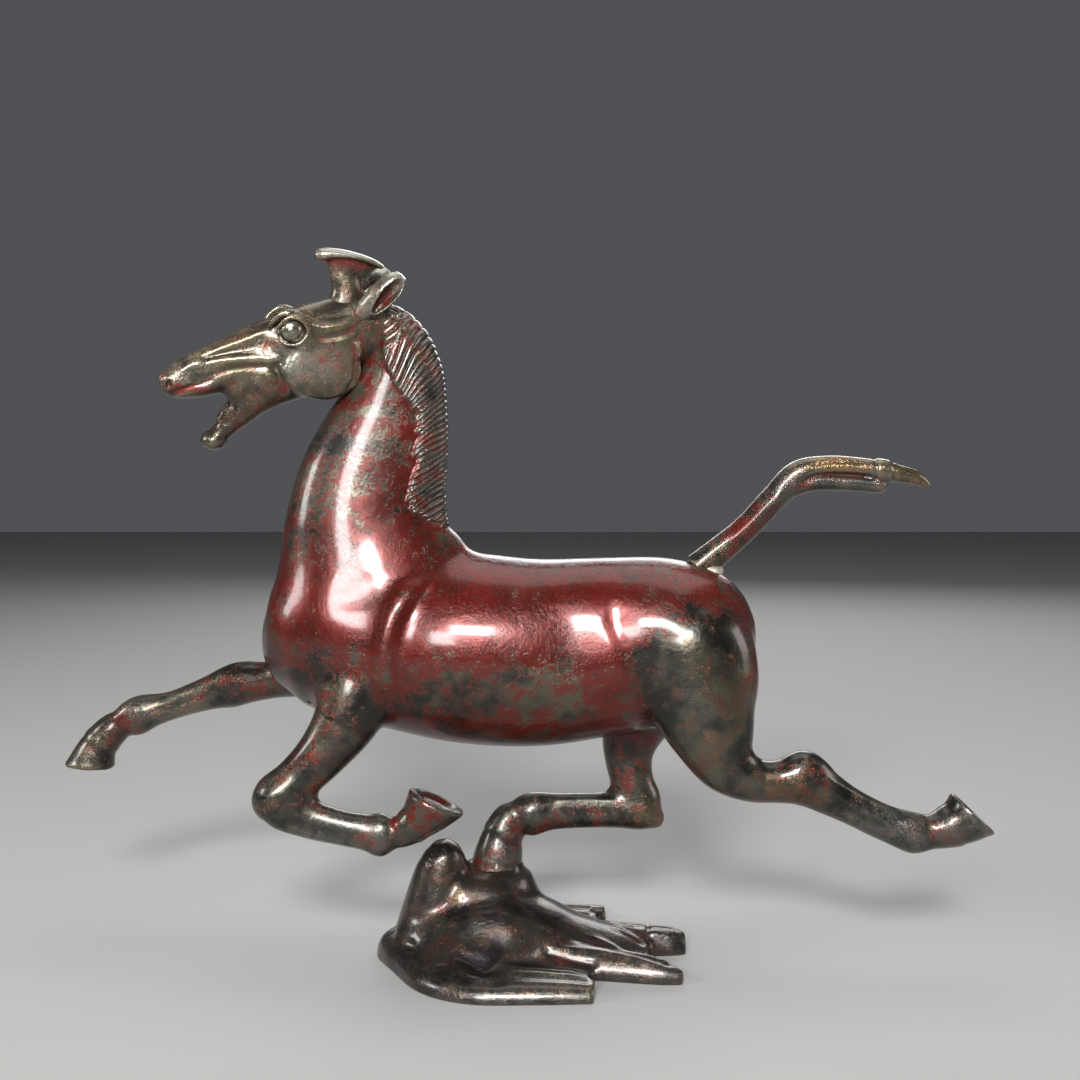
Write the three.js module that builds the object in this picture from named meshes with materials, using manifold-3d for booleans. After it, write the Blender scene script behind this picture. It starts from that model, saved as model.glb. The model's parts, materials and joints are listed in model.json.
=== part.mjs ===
// Galloping bronze horse with one hind hoof on the back of a flying swallow.
// Millimetres, +Z up. The horse runs towards -X, so its left side faces -Y. The swallow stands on Z = 0.
// The castings are lofts through oval sections, fused, then parted where a foundry would part them:
// a hollow body in two halves, a head, four legs, a tail and the swallow, with their tenons, pins and stud.
import * as THREE from 'three';
import { mergeVertices } from 'three/addons/utils/BufferGeometryUtils.js';
import Module from 'manifold-3d';

const wasm = await Module();
wasm.setup();

// ---- Driving sizes ------------------------------------------------------------------------------------

const LENGTH = 300; // muzzle side hoof to trailing hoof
const HEIGHT = 227; // to the top of the forelock
const WIDTH = 77; // across the swallow's wings

const WALL = 3.6; // thickness of the hollow body casting
const GAP = 0.3; // braze gap between castings, and clearance around pins and tenons
const SPIGOT_CLEARANCE = 1; // round the head's spigot in the hollow neck, for the solder
const TENON_RADIUS = 3.2;
const TENON_LENGTH = 8;
const PIN_RADIUS = 1.1;
const PEG_RADIUS = 1.3; // pegs under the ears and the forelock
const PEG_LENGTH = 3.5;
const EYE_RADIUS = 4.1;
const LID_RADIUS = 1.0; // thickness of the ring of eyelid
const STUD_RADIUS = 2.5; // M5 stud that holds the hoof on the swallow
const STUD_IN_HOOF = 9;
const WASHER_RADIUS = 5;
const WASHER_THICKNESS = 1;
const NUT_ACROSS_FLATS = 8;
const NUT_HEIGHT = 4;
const STUD_PAST_NUT = 1.5;
const NUT_POCKET_RADIUS = 8;
const SEAT_THICKNESS = 7; // metal of the swallow's back that the stud clamps
const HEAD_TURN = 20; // degrees, towards the horse's left
const HEAD_TILT = 13; // degrees, crown towards the horse's left

// The sections below are drawn for a statue of this size, and stretched to the sizes above.
const DRAWN = new THREE.Vector3(300, 77.1, 227.5);
const STRETCH = new THREE.Vector3(LENGTH, WIDTH, HEIGHT).divide(DRAWN);
const DEEP_STRETCH = Math.sqrt(STRETCH.x * STRETCH.z);

// ---- Sections -----------------------------------------------------------------------------------------
// Each row is a section: centre x, y, z, half width across the limb, half depth in its plane, and taper,
// the share by which the section widens towards its outer side (down, or back on a line that climbs).

const BARREL = [
  [81, 0, 104, 3, 5, 0],
  [77.5, 0, 104, 12, 13, 0],
  [69, 0, 104, 19, 21.5, 0],
  [54, 0, 103, 23, 26.5, -0.05],
  [34, 0, 101, 24, 28.5, -0.08],
  [10, 0, 99, 25.5, 30, -0.08],
  [-12, 0, 100.5, 25.5, 30.5, -0.1],
  [-34, 0, 103.5, 24, 29, -0.1],
  [-52, 0, 105, 22, 27, -0.05],
  [-66, 0, 104.5, 18, 22, 0],
  [-74, 0, 103.5, 11, 14, 0],
  [-77.5, 0, 103.5, 3, 5, 0],
];

const NECK = [
  [-40, 0, 108, 20, 35, -0.1],
  [-42, 0, 124, 18.5, 32.5, -0.15],
  [-44, 0, 138, 15.5, 27, -0.18],
  [-42.5, 0, 152, 13.2, 24.4, -0.18],
  [-39, 0, 165, 11.6, 21.6, -0.15],
  [-35.6, 0, 177, 10.5, 18, -0.12],
  [-33.5, 0, 189, 9.8, 14, -0.1],
  [-35, 0, 198.5, 8.8, 10.6, 0],
  [-39, 0, 205, 6.6, 7.4, 0],
  [-43, 0, 208.5, 3, 3, 0],
];

const SKULL = [
  [-35, 0, 199.5, 7, 9, 0],
  [-45, 0, 202.6, 8.8, 11.8, -0.1],
  [-56, 0, 201.6, 9.2, 10.8, -0.15],
  [-66, 0, 200, 8.6, 8.8, -0.15],
  [-76, 0, 196, 6.8, 8.6, -0.2],
  [-87, 0, 191, 5.4, 7.8, -0.25],
  [-97, 0, 186.5, 5.2, 7.1, -0.15],
  [-104, 0, 184.4, 4.9, 5.2, 0],
  [-108, 0, 184, 2.4, 2.6, 0],
];

const JAW = [
  [-58, 0, 189, 7.5, 7, 0],
  [-70, 0, 185.6, 7.2, 7, 0],
  [-79, 0, 180.4, 6.2, 6.2, 0],
  [-85, 0, 174.2, 4.9, 5, 0],
  [-88.4, 0, 169.8, 4, 3.8, 0],
  [-91.4, 0, 166.6, 4.5, 3.7, 0],
  [-94.8, 0, 164.6, 2.1, 1.8, 0],
];

const LIP_CORNERS = [
  [-62, 0, 191, 8, 8, 0],
  [-74, 0, 187, 6.8, 7.4, 0],
  [-82, 0, 183.4, 5.6, 6.2, 0],
  [-86.4, 0, 181.2, 4.6, 4.6, 0],
  [-88.4, 0, 180.2, 2, 2.2, 0],
];

const MOUTH = [
  [-104, 0, 172, 3.2, 6.4, 0],
  [-96, 0, 174.6, 3.2, 4.4, 0],
  [-90, 0, 177.6, 2.8, 2.6, 0],
  [-83, 0, 181, 2, 1.8, 0],
  [-79, 0, 182.6, 0.8, 0.8, 0],
];

const CHEEK = { at: [-59.5, 0, 190.6], radius: 11.5, halfWidth: 9.8, round: 2.5, flatter: 0.82 };
const EYE = { at: [-69.5, 6.8, 202.6] };
const CROWN = [-42, 0, 198]; // the point that the head turns about

const EAR = [
  [-47.5, 5, 207.5, 2.4, 2.6, 0],
  [-45.4, 6.8, 210.6, 3.6, 4.2, 0],
  [-42, 8.6, 214.6, 4.4, 5, 0],
  [-38.6, 9.8, 218.6, 3.8, 4.4, 0],
  [-36.2, 10.5, 221.4, 1.8, 2.2, 0],
];
const EAR_CUP = [
  [-44, 8.6, 209.6, 1, 1.2, 0],
  [-41, 10.8, 212.6, 2.8, 3.2, 0],
  [-37.8, 12, 216.2, 2.8, 3.2, 0],
  [-35, 12.8, 219.2, 1, 1.2, 0],
];

const FORELOCK = [
  [-51.2, 0, 212.6, 4.4, 6, 0],
  [-51.5, 0, 216.4, 3.7, 4.7, 0],
  [-51.8, 0, 219.6, 3.3, 5.4, 0],
  [-51.2, 0, 222.6, 3.4, 7.8, 0],
  [-50.8, 0, 225.7, 3.6, 10, 0],
  [-50.9, 0, 227.8, 1.5, 7.4, 0],
];

const TAIL = [
  [62, 0, 125.5, 4.4, 5, 0],
  [69, 0, 131.2, 4.1, 4.6, 0],
  [77.5, 0, 138.4, 3.8, 4.2, 0],
  [87.5, 0, 149, 4, 4.3, 0],
  [95, 0, 156, 4.2, 4.7, 0],
  [105, 0, 158.6, 3.6, 3.7, 0],
  [117.5, 0, 158, 3.5, 3.3, 0],
  [120, 0, 157.6, 4, 3.9, 0],
  [124.2, 0, 157, 3.8, 3.7, 0],
  [126, 0, 156.6, 3, 3, 0],
  [133, 0, 155, 2.2, 2.3, 0],
  [137.5, 0, 152, 0.8, 0.9, 0],
];
const TAIL_STRAND = [
  [92, 0, 151, 3, 2.6, 0],
  [99, 0, 153.6, 3.6, 3, 0],
  [110, 0, 153.6, 3.2, 2.8, 0],
  [121, 0, 152.6, 3, 2.6, 0],
  [123.4, 0, 152.3, 1.6, 1.4, 0],
];

// A leg is an upper loft that starts inside the body and is parted at the section numbered seam, a lower
// loft where the limb folds back on itself, and a hoof that is cut off flat at its sole.
const LEGS = {
  left_fore: {
    seam: 2.25,
    upper: [
      [-42, -8, 104, 6, 10, 0],
      [-45, -13.4, 92, 9.6, 13.4, 0],
      [-47.6, -17, 81.5, 8.4, 10.6, 0],
      [-54.6, -18.8, 71, 6.8, 8.2, 0],
      [-62.6, -20.4, 62.6, 6.2, 7.2, 0],
      [-68.6, -21.2, 57, 6.6, 7.8, 0],
      [-72.4, -21.4, 53.6, 4.4, 5.4, 0],
      [-74, -21.4, 52.2, 1.4, 1.8, 0],
    ],
    lower: [
      [-73, -21.4, 58.2, 2.4, 2.6, 0],
      [-67.4, -21.4, 55.2, 6, 7, 0],
      [-58.6, -21.6, 51, 5, 6, 0],
      [-48.6, -22, 48.4, 4.5, 5.4, 0],
      [-40.5, -22, 47, 4.7, 5.6, 0],
      [-36, -22, 46.6, 5.2, 6.4, 0],
      [-32, -22, 47, 3.8, 4, 0],
      [-30, -22, 48, 2, 2, 0],
    ],
    hoof: [
      [-35, -22, 44.8, 2.6, 2.8, 0],
      [-31.5, -22, 46.5, 4.4, 4.6, 0],
      [-26.5, -22, 49.8, 5.8, 6, 0],
      [-20.5, -22, 56.2, 7.2, 8.8, 0],
      [-15, -22, 63.3, 8, 10.4, 0],
    ],
    sole: { at: [-19.7, -22, 56.9], facing: [0.41, 0, 0.91] },
  },
  right_fore: {
    seam: 1.35,
    upper: [
      [-52, 9, 100, 6, 8, 0],
      [-64, 14.4, 91.6, 8, 9, 0],
      [-78, 18.2, 87, 6.2, 6.4, 0],
      [-90, 19.6, 85.4, 6.3, 7.3, 0],
      [-101, 20.2, 81.8, 5.2, 5.7, 0],
      [-113.6, 20.8, 77.6, 4.4, 4.9, 0],
      [-124, 21, 74.8, 5.2, 6.3, 0],
      [-129.6, 21, 72.2, 4.4, 5, 0],
      [-132.4, 21, 70.6, 2.2, 2.4, 0],
    ],
    hoof: [
      [-127, 21, 73.6, 2.6, 2.8, 0],
      [-131.8, 21, 70.6, 4.8, 5.4, 0],
      [-137.4, 21, 64.8, 6, 6.2, 0],
      [-140.9, 21, 56.5, 7.4, 8.1, 0],
      [-143.2, 21, 49, 8, 9.2, 0],
    ],
    sole: { at: [-139, 21, 56.8], facing: [-0.09, 0, -1] },
  },
  left_hind: {
    seam: 4.55,
    upper: [
      [55, -5, 118, 6, 9, 0],
      [58, -10.4, 106, 12.6, 18.6, 0],
      [61, -14.8, 91, 11.8, 19, 0],
      [64.5, -18, 77.5, 9.5, 14, 0],
      [69.5, -19.4, 67, 7.4, 9.6, 0],
      [76.5, -20, 62.6, 6.2, 7, 0],
      [84.5, -20, 62, 5.8, 6.6, 0],
      [92.5, -20, 62.6, 5.9, 8.4, 0],
      [99, -20, 58.8, 5.3, 6.8, 0],
      [107.5, -20, 54, 4.6, 5.6, 0],
      [117, -20, 49.4, 4.6, 5.6, 0],
      [125, -20, 46.8, 5.3, 6, 0],
      [131.5, -20, 46.4, 4.1, 5, 0],
      [134, -20, 47.2, 2.2, 2.4, 0],
    ],
    hoof: [
      [126.5, -20, 46.4, 2.6, 2.8, 0],
      [131.5, -20, 46.6, 4.8, 5.2, 0],
      [138.4, -20, 48.8, 6.2, 6.8, 0],
      [145, -20, 53.2, 7.4, 8.8, 0],
      [151, -20, 58.5, 8, 10, 0],
    ],
    sole: { at: [144.6, -20, 52.4], facing: [0.69, 0, 0.72] },
  },
  right_hind: {
    seam: 3.6,
    upper: [
      [54, 5, 117, 6, 9, 0],
      [54, 10.6, 104, 12.6, 18.4, 0],
      [51, 14.4, 88, 11.6, 18, 0],
      [44, 16.4, 74, 8.8, 12.4, 0],
      [41.4, 16, 63, 6.8, 8.6, 0],
      [42.6, 14.8, 53.5, 6, 7.2, 0],
      [45.6, 13.8, 46.5, 5.8, 7, 0],
      [47.6, 13.4, 42.4, 4, 5, 0],
      [48.4, 13.3, 40.4, 1.4, 1.6, 0],
    ],
    lower: [
      [52.4, 13.4, 40.6, 1.6, 1.8, 0],
      [47, 13.2, 43.4, 5.2, 5.8, 0],
      [38, 12.8, 44.4, 5, 6, 0],
      [27, 12, 44.6, 4.6, 5.9, 0],
      [16, 11.2, 44.5, 5, 6.2, 0],
      [9.5, 10.6, 44.2, 5.6, 6.9, 0],
      [4.5, 10.2, 43.8, 4.6, 5.4, 0],
      [2, 10, 43.4, 2.2, 2.6, 0],
    ],
    hoof: [
      [5, 10.2, 46, 2.6, 3, 0],
      [1.8, 9.8, 42.6, 5, 5.6, 0],
      [-0.6, 9.3, 37.4, 5.8, 6.7, 0],
      [-1.8, 8.8, 31.5, 7, 8, 0],
      [-3, 8.5, 25, 7.6, 8.6, 0],
      [-3.6, 8.4, 19, 7.8, 8.8, 0],
    ],
    sole: { at: [-3, 8.5, 26], facing: [0, 0, -1] },
  },
};

const SWALLOW = {
  body: [
    [-36, 4, -1, 6, 5, 0],
    [-32, 3.4, 0, 11.5, 10.5, 0],
    [-25, 3, 2, 16.5, 15.5, 0],
    [-13, 3.4, 3, 20.5, 19.4, 0],
    [-1, 4, 4, 20.5, 19.8, 0],
    [10, 4, 3, 18, 15.5, 0],
    [22, 3, 1, 15.5, 12, 0],
    [38, 1, 0, 12, 8.6, 0],
    [47, -0.5, 0, 4, 4, 0],
  ],
  neck: [
    [-23, 4, 2, 13, 13, 0],
    [-21.6, 3.8, 12, 12, 13, 0],
    [-20, 3.4, 21, 10.2, 11, 0],
    [-19.6, 2.8, 28.4, 8.2, 8.8, 0],
    [-20, 2.2, 34, 6, 6.4, 0],
    [-20.6, 1.8, 37.4, 2.4, 2.6, 0],
  ],
  back: [
    [-1, 7, 8, 15, 17, 0],
    [-1.6, 8, 16, 12.6, 14.2, 0],
    [-2.2, 8.4, 22, 10.6, 11.8, 0],
    [-3, 8.5, 27, 8.8, 9.6, 0],
    [-3, 8.5, 30, 8, 9, 0],
  ],
  strips: [
    // left wing, from its root at the breast round its wrist to its tip
    [
      [-36.5, 13, 0, 3.4, 5.5, 0],
      [-37.6, 4, 0, 3.8, 6.4, 0],
      [-30, -7.6, 0, 5.6, 7, 0],
      [-19.4, -22.4, 0, 6.8, 6.8, 0],
      [-8, -27.6, 0, 7.6, 6.2, 0],
      [9, -28.2, 0, 7.4, 5.8, 0],
      [22, -29, 0, 6.2, 5.2, 0],
      [28, -29.6, 0, 5.2, 4.6, 0],
    ],
    // right wing
    [
      [-36, 8, 0, 3.4, 5.5, 0],
      [-33.4, 17, 0, 4.4, 6.4, 0],
      [-26, 25.6, 0, 5.8, 6.6, 0],
      [-11, 32, 0, 7, 6.2, 0],
      [9, 34.6, 0, 6.4, 5.4, 0],
      [26, 36, 0, 5.2, 4.8, 0],
      [34.5, 36.6, 0, 4, 4.2, 0],
    ],
    // left wing's feathers, between its leading edge and the back
    [
      [-27, -5, 0, 6, 5, 0],
      [-16, -13, 0, 12.5, 5, 0],
      [4, -16.4, 0, 13.6, 4.4, 0],
      [21, -19, 0, 12.4, 3.6, 0],
      [27, -20, 0, 11.4, 3.2, 0],
    ],
    // right wing's feathers
    [
      [-25, 13, 0, 6, 5, 0],
      [-14, 20, 0, 12.5, 5, 0],
      [6, 23.4, 0, 13, 4.4, 0],
      [24, 26.4, 0, 12, 3.6, 0],
      [32, 27.6, 0, 11, 3.2, 0],
    ],
    // left prong of the tail
    [
      [6, -8, 0, 8.4, 9, 0],
      [25, -11, 0, 7.4, 8.4, 0],
      [42, -14.6, 0, 5.8, 7, 0],
      [54, -17, 0, 4.2, 5.6, 0],
      [58, -18, 0, 2.2, 4.2, 0],
    ],
    // right prong of the tail
    [
      [8, 9, 0, 8.4, 9.4, 0],
      [27, 9.4, 0, 7.6, 8.8, 0],
      [45, 10, 0, 6.8, 8, 0],
      [57, 10.6, 0, 5.4, 7, 0],
      [61.5, 11, 0, 2.8, 5, 0],
    ],
  ],
};

// ---- Materials ----------------------------------------------------------------------------------------

function metal(color, roughness, metalness) {
  return new THREE.MeshStandardMaterial({ color, roughness, metalness });
}

const MATERIALS = {
  redBronze: metal(0x7a3a30, 0.35, 0.7),
  darkBronze: metal(0x4a4438, 0.35, 0.85),
  solder: metal(0xb9b3a0, 0.45, 0.9),
  steel: metal(0x8c8c8c, 0.4, 1),
};

// ---- Solids -------------------------------------------------------------------------------------------

/** A closed three.js geometry as a solid that can be joined and cut. */
function solidOf(geometry) {
  const bare = geometry.clone();
  bare.deleteAttribute('normal');
  bare.deleteAttribute('uv');
  const merged = mergeVertices(bare, 1e-4);
  return new wasm.Manifold(
    new wasm.Mesh({
      numProp: 3,
      vertProperties: new Float32Array(merged.attributes.position.array),
      triVerts: new Uint32Array(merged.index.array),
    }),
  );
}

/** A solid as a three.js geometry. */
function geometryOf(solid) {
  const mesh = solid.getMesh();
  const geometry = new THREE.BufferGeometry();
  geometry.setAttribute('position', new THREE.BufferAttribute(mesh.vertProperties, 3));
  geometry.setIndex(new THREE.BufferAttribute(mesh.triVerts, 1));
  geometry.computeVertexNormals();
  return geometry;
}

/** All the solids joined into one. */
function join(...solids) {
  return solids.reduce((whole, solid) => whole.add(solid));
}

/** The first solid with the others cut away. */
function cut(solid, ...tools) {
  return tools.reduce((left, tool) => left.subtract(tool), solid);
}

/** A drawn point at the statue's real size. */
function placed([x, y, z]) {
  return new THREE.Vector3(x, y, z).multiply(STRETCH);
}

const UPRIGHT = 'upright'; // sections stay square to the horse's width
const FLAT = 'flat'; // sections stay square to the ground, for strips that curve in plan

/** The line through the sections' centres, and its frame at t from 0 to 1. */
function lineThrough(sections, lie = UPRIGHT) {
  const curve = new THREE.CatmullRomCurve3(sections.map(placed), false, 'centripetal');
  const frameAt = (t) => {
    const along = curve.getTangent(t);
    const fixed = lie === UPRIGHT ? new THREE.Vector3(0, 1, 0) : new THREE.Vector3(0, 0, 1);
    fixed.addScaledVector(along, -fixed.dot(along)).normalize();
    const other = new THREE.Vector3();
    if (lie === UPRIGHT) {
      other.crossVectors(fixed, along);
      return { at: curve.getPoint(t), along, across: fixed, deep: other };
    }
    other.crossVectors(along, fixed);
    return { at: curve.getPoint(t), along, across: other, deep: fixed };
  };
  return { curve, frameAt };
}

/** A closed skin over oval sections, between the shares `from` and `to` of their line. */
function loft(sections, { sides = 12, steps = 2, from = 0, to = 1, grow = 0, lie = UPRIGHT } = {}) {
  const { frameAt } = lineThrough(sections, lie);
  const sizes = new THREE.CatmullRomCurve3(
    sections.map(([, , , wide, deep, taper]) => new THREE.Vector3(wide, deep, taper)),
    false,
    'catmullrom',
    0.5,
  );
  const rings = Math.max(2, Math.round(steps * (sections.length - 1) * (to - from)));
  const geometry = new THREE.CylinderGeometry(1, 1, 1, sides, rings);
  const points = geometry.attributes.position;
  const vertex = new THREE.Vector3();
  for (let i = 0; i < points.count; i += 1) {
    vertex.fromBufferAttribute(points, i);
    const t = THREE.MathUtils.clamp(from + (vertex.y + 0.5) * (to - from), 0, 1);
    const { at, across, deep } = frameAt(t);
    const size = sizes.getPoint(t);
    const halfWidth = Math.max(0.3, size.x * STRETCH.y + grow);
    const halfDepth = Math.max(0.3, size.y * DEEP_STRETCH + grow);
    const widened = halfWidth * (1 + size.z * vertex.z);
    at.addScaledVector(across, vertex.x * widened).addScaledVector(deep, vertex.z * halfDepth);
    points.setXYZ(i, at.x, at.y, at.z);
  }
  return geometry;
}

/** A round bar centred on a point, along a direction. */
function bar(at, direction, radius, length, sides = 12) {
  const geometry = new THREE.CylinderGeometry(radius, radius, length, sides);
  const turn = new THREE.Quaternion().setFromUnitVectors(
    new THREE.Vector3(0, 1, 0),
    direction.clone().normalize(),
  );
  return geometry.applyQuaternion(turn).translate(at.x, at.y, at.z);
}

/** A box so large that it stands for everything in front of a plane. */
function beyond(at, facing) {
  const size = 3 * LENGTH;
  const normal = facing.clone().normalize();
  const turn = new THREE.Quaternion().setFromUnitVectors(new THREE.Vector3(0, 0, 1), normal);
  const middle = at.clone().addScaledVector(normal, size / 2);
  return solidOf(
    new THREE.BoxGeometry(size, size, size).applyQuaternion(turn).translate(middle.x, middle.y, middle.z),
  );
}

const ACROSS = new THREE.Vector3(0, 1, 0);
const UP = new THREE.Vector3(0, 0, 1);

/** Mirrored to the other side of the horse. */
function mirrored(sections) {
  return sections.map(([x, y, ...rest]) => [x, -y, ...rest]);
}

// ---- Head ---------------------------------------------------------------------------------------------

const CREST_AT = placed([-33.4, 0, 209]); // the crest of the neck ends here, on the back of the head
const CREST_FACING = new THREE.Vector3(0.8, 0, -0.6);
const SPIGOT_FROM = 0.64; // the head's spigot runs between these shares of the neck's line
const SPIGOT_TO = 0.8;
const NECK_PIN_AT = 0.69;

const crown = placed(CROWN);
const turnHead = new THREE.Matrix4()
  .makeTranslation(crown.x, crown.y, crown.z)
  .multiply(new THREE.Matrix4().makeRotationZ(THREE.MathUtils.degToRad(HEAD_TURN)))
  .multiply(new THREE.Matrix4().makeRotationX(THREE.MathUtils.degToRad(HEAD_TILT)))
  .multiply(new THREE.Matrix4().makeTranslation(-crown.x, -crown.y, -crown.z));

/** A piece drawn on the straight head, as a solid on the turned one. */
function onHead(geometry) {
  return solidOf(geometry.applyMatrix4(turnHead));
}

/** The two round cheek plates, as one thick disc with rounded rims. */
function cheeks(grow) {
  const { at, radius, halfWidth, round, flatter } = CHEEK;
  const reach = radius + grow;
  const half = halfWidth * STRETCH.y + grow;
  const rim = new THREE.Path();
  rim.moveTo(0, -half);
  rim.lineTo(reach - round, -half);
  rim.absarc(reach - round, -half + round, round, -Math.PI / 2, 0);
  rim.lineTo(reach, half - round);
  rim.absarc(reach - round, half - round, round, 0, Math.PI / 2);
  rim.lineTo(0, half);
  const { x, y, z } = placed(at);
  return new THREE.LatheGeometry(rim.getPoints(3), 24)
    .scale(STRETCH.x, 1, STRETCH.z * flatter)
    .translate(x, y, z);
}

/** One eye's centre, on the left (-1) or the right (1). */
function eyeCentre(side) {
  const [x, y, z] = EYE.at;
  return placed([x, side * y, z]);
}

function eyeball(side, radius, sides = 12) {
  const at = eyeCentre(side);
  return new THREE.SphereGeometry(radius, sides, sides / 2).translate(at.x, at.y, at.z);
}

function eyelid(side) {
  const at = eyeCentre(side);
  return new THREE.TorusGeometry(EYE_RADIUS + LID_RADIUS, LID_RADIUS, 6, 16)
    .rotateX(Math.PI / 2)
    .rotateZ(THREE.MathUtils.degToRad(side * -12))
    .translate(at.x, at.y + side * LID_RADIUS, at.z);
}

/** A peg that starts inside a small casting and ends in the head. */
function peg(sections, radius, past) {
  const { at, along } = lineThrough(sections).frameAt(0);
  return bar(at, along, radius, 2 * (PEG_LENGTH + past), 10);
}

function earCastings() {
  return [-1, 1].map((side) => {
    const sections = side > 0 ? EAR : mirrored(EAR);
    const hollow = side > 0 ? EAR_CUP : mirrored(EAR_CUP);
    return {
      name: side > 0 ? 'right_ear' : 'left_ear',
      shell: cut(onHead(loft(sections)), onHead(loft(hollow, { sides: 10 }))),
      clear: onHead(loft(sections, { grow: GAP })),
      peg: onHead(peg(sections, PEG_RADIUS, 0)),
      hole: onHead(peg(sections, PEG_RADIUS + GAP, GAP)),
    };
  });
}

function forelockCasting() {
  return {
    name: 'forelock',
    shell: onHead(loft(FORELOCK)),
    peg: onHead(peg(FORELOCK, PEG_RADIUS, 0)),
    hole: onHead(peg(FORELOCK, PEG_RADIUS + GAP, GAP)),
  };
}

/** Skull, cheeks, lower jaw and lips, or with grow the hollow that they need in the top of the neck. */
function headForm(grow = 0) {
  return join(
    onHead(loft(SKULL, { sides: 16, grow })),
    onHead(cheeks(grow)),
    onHead(loft(JAW, { grow })),
    onHead(loft(LIP_CORNERS, { steps: 1, grow })),
  );
}

// ---- Body ---------------------------------------------------------------------------------------------

/** Where a leg is parted from the body, in its own line. */
function seamOf(leg) {
  const line = lineThrough(leg.upper);
  const t = leg.seam / (leg.upper.length - 1);
  const halfGap = GAP / 2 / line.curve.getLengths(400).at(-1);
  return { t, halfGap, frame: line.frameAt(t) };
}

/** What a leg needs clear of the body beyond its seam. */
function legRoom(leg) {
  const { t, halfGap } = seamOf(leg);
  return solidOf(loft(leg.upper, { from: t + halfGap, grow: GAP }));
}

/** The stump of a leg, cast with the body. */
function stump(leg) {
  const { t, halfGap } = seamOf(leg);
  return solidOf(loft(leg.upper, { to: t - halfGap }));
}

/** A leg's tenon, or with grow the socket for it. */
function tenon(leg, grow) {
  const { at, along } = seamOf(leg).frame;
  const middle = at.clone().addScaledVector(along, -(TENON_LENGTH + grow) / 2 + 1);
  return solidOf(bar(middle, along, TENON_RADIUS + grow, TENON_LENGTH + grow + 2));
}

/** The pin across a leg's tenon, from the outside, or with grow its hole. */
function legPin(leg, grow) {
  const { at, along } = seamOf(leg).frame;
  const middle = at.clone().addScaledVector(along, -TENON_LENGTH / 2);
  const outwards = Math.sign(at.y);
  const reach = 3 * TENON_RADIUS;
  middle.y += outwards * (reach - TENON_RADIUS - 1);
  return solidOf(bar(middle, ACROSS, PIN_RADIUS + grow, 2 * reach + 2 * grow));
}

/** The pin across the neck that holds the head's spigot, or with grow its hole. */
function neckPin(grow) {
  const { at } = lineThrough(NECK).frameAt(NECK_PIN_AT);
  return solidOf(bar(at, ACROSS, PIN_RADIUS + grow, WIDTH, 12));
}

/** The outside of the body with the stumps of the legs, before it is hollowed. */
function bodyForm() {
  return join(
    solidOf(loft(BARREL, { sides: 20 })),
    solidOf(loft(NECK, { sides: 18 })),
    ...Object.values(LEGS).map(stump),
  );
}

/** The hollow inside the body: the barrel's and the neck's, one wall smaller. */
function bodyHollow() {
  return join(
    solidOf(loft(BARREL, { sides: 14, steps: 1, from: 0.08, to: 0.92, grow: -WALL })),
    solidOf(loft(NECK, { sides: 12, steps: 1, grow: -WALL })),
  );
}

// ---- Tail ---------------------------------------------------------------------------------------------

function tailForm() {
  return join(solidOf(loft(TAIL)), solidOf(loft(TAIL_STRAND)));
}

function tailRoot() {
  return lineThrough(TAIL).frameAt(0);
}

/** The bead of solder round the foot of the tail. */
function solderBead() {
  const { at } = lineThrough(TAIL).frameAt(0.075);
  return solidOf(new THREE.SphereGeometry(4.2, 14, 10).scale(1.1, 1.15, 0.8).translate(at.x + 1.6, at.y, at.z - 2.6));
}

// ---- Legs ---------------------------------------------------------------------------------------------

function legForm(leg) {
  const { t, halfGap } = seamOf(leg);
  const hoof = cut(
    solidOf(loft(leg.hoof)),
    beyond(placed(leg.sole.at), new THREE.Vector3(...leg.sole.facing)),
  );
  const limbs = [solidOf(loft(leg.upper, { from: t + halfGap })), hoof, tenon(leg, 0)];
  if (leg.lower) limbs.push(solidOf(loft(leg.lower)));
  return join(...limbs);
}

// ---- Swallow and its stud -----------------------------------------------------------------------------

const SOLE = placed(LEGS.right_hind.sole.at);
const SEAT_Z = SOLE.z - GAP; // top of the pad on the swallow's back
const POCKET_Z = SEAT_Z - SEAT_THICKNESS; // roof of the nut's pocket
const STUD_TOP = SOLE.z + STUD_IN_HOOF;
const NUT_TOP = POCKET_Z - WASHER_THICKNESS - 2 * GAP;
const STUD_FOOT = NUT_TOP - NUT_HEIGHT - STUD_PAST_NUT;

/** A round bar on the stud's axis between two heights. */
function onStudAxis(radius, low, high, sides = 16) {
  const at = new THREE.Vector3(SOLE.x, SOLE.y, (low + high) / 2);
  return solidOf(bar(at, UP, radius, high - low, sides));
}

/** The pin through the hoof and the stud, from the left, or with grow its hole. */
function hoofPin(grow) {
  const at = new THREE.Vector3(SOLE.x, SOLE.y - 4, SOLE.z + 2 + PIN_RADIUS);
  return solidOf(bar(at, ACROSS, PIN_RADIUS + grow, 16 + 2 * grow));
}

/** The swallow, with a level seat for the hoof, a hole for the stud and a pocket for its nut. */
function swallowForm() {
  const seat = new THREE.Vector3(0, 0, SEAT_Z);
  const down = UP.clone().negate();
  const back = cut(solidOf(loft(SWALLOW.back, { sides: 16 })), beyond(seat, UP));
  const hoofRoom = cut(solidOf(loft(LEGS.right_hind.hoof, { grow: GAP })), beyond(seat, down));
  const whole = join(
    solidOf(loft(SWALLOW.body, { sides: 18 })),
    solidOf(loft(SWALLOW.neck)),
    back,
    ...SWALLOW.strips.map((strip) => solidOf(loft(strip, { lie: FLAT }))),
  );
  return cut(
    whole,
    beyond(new THREE.Vector3(0, 0, 0), down),
    hoofRoom,
    onStudAxis(STUD_RADIUS + GAP, -1, SEAT_Z + 1),
    onStudAxis(NUT_POCKET_RADIUS, -1, POCKET_Z, 20),
  );
}

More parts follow.
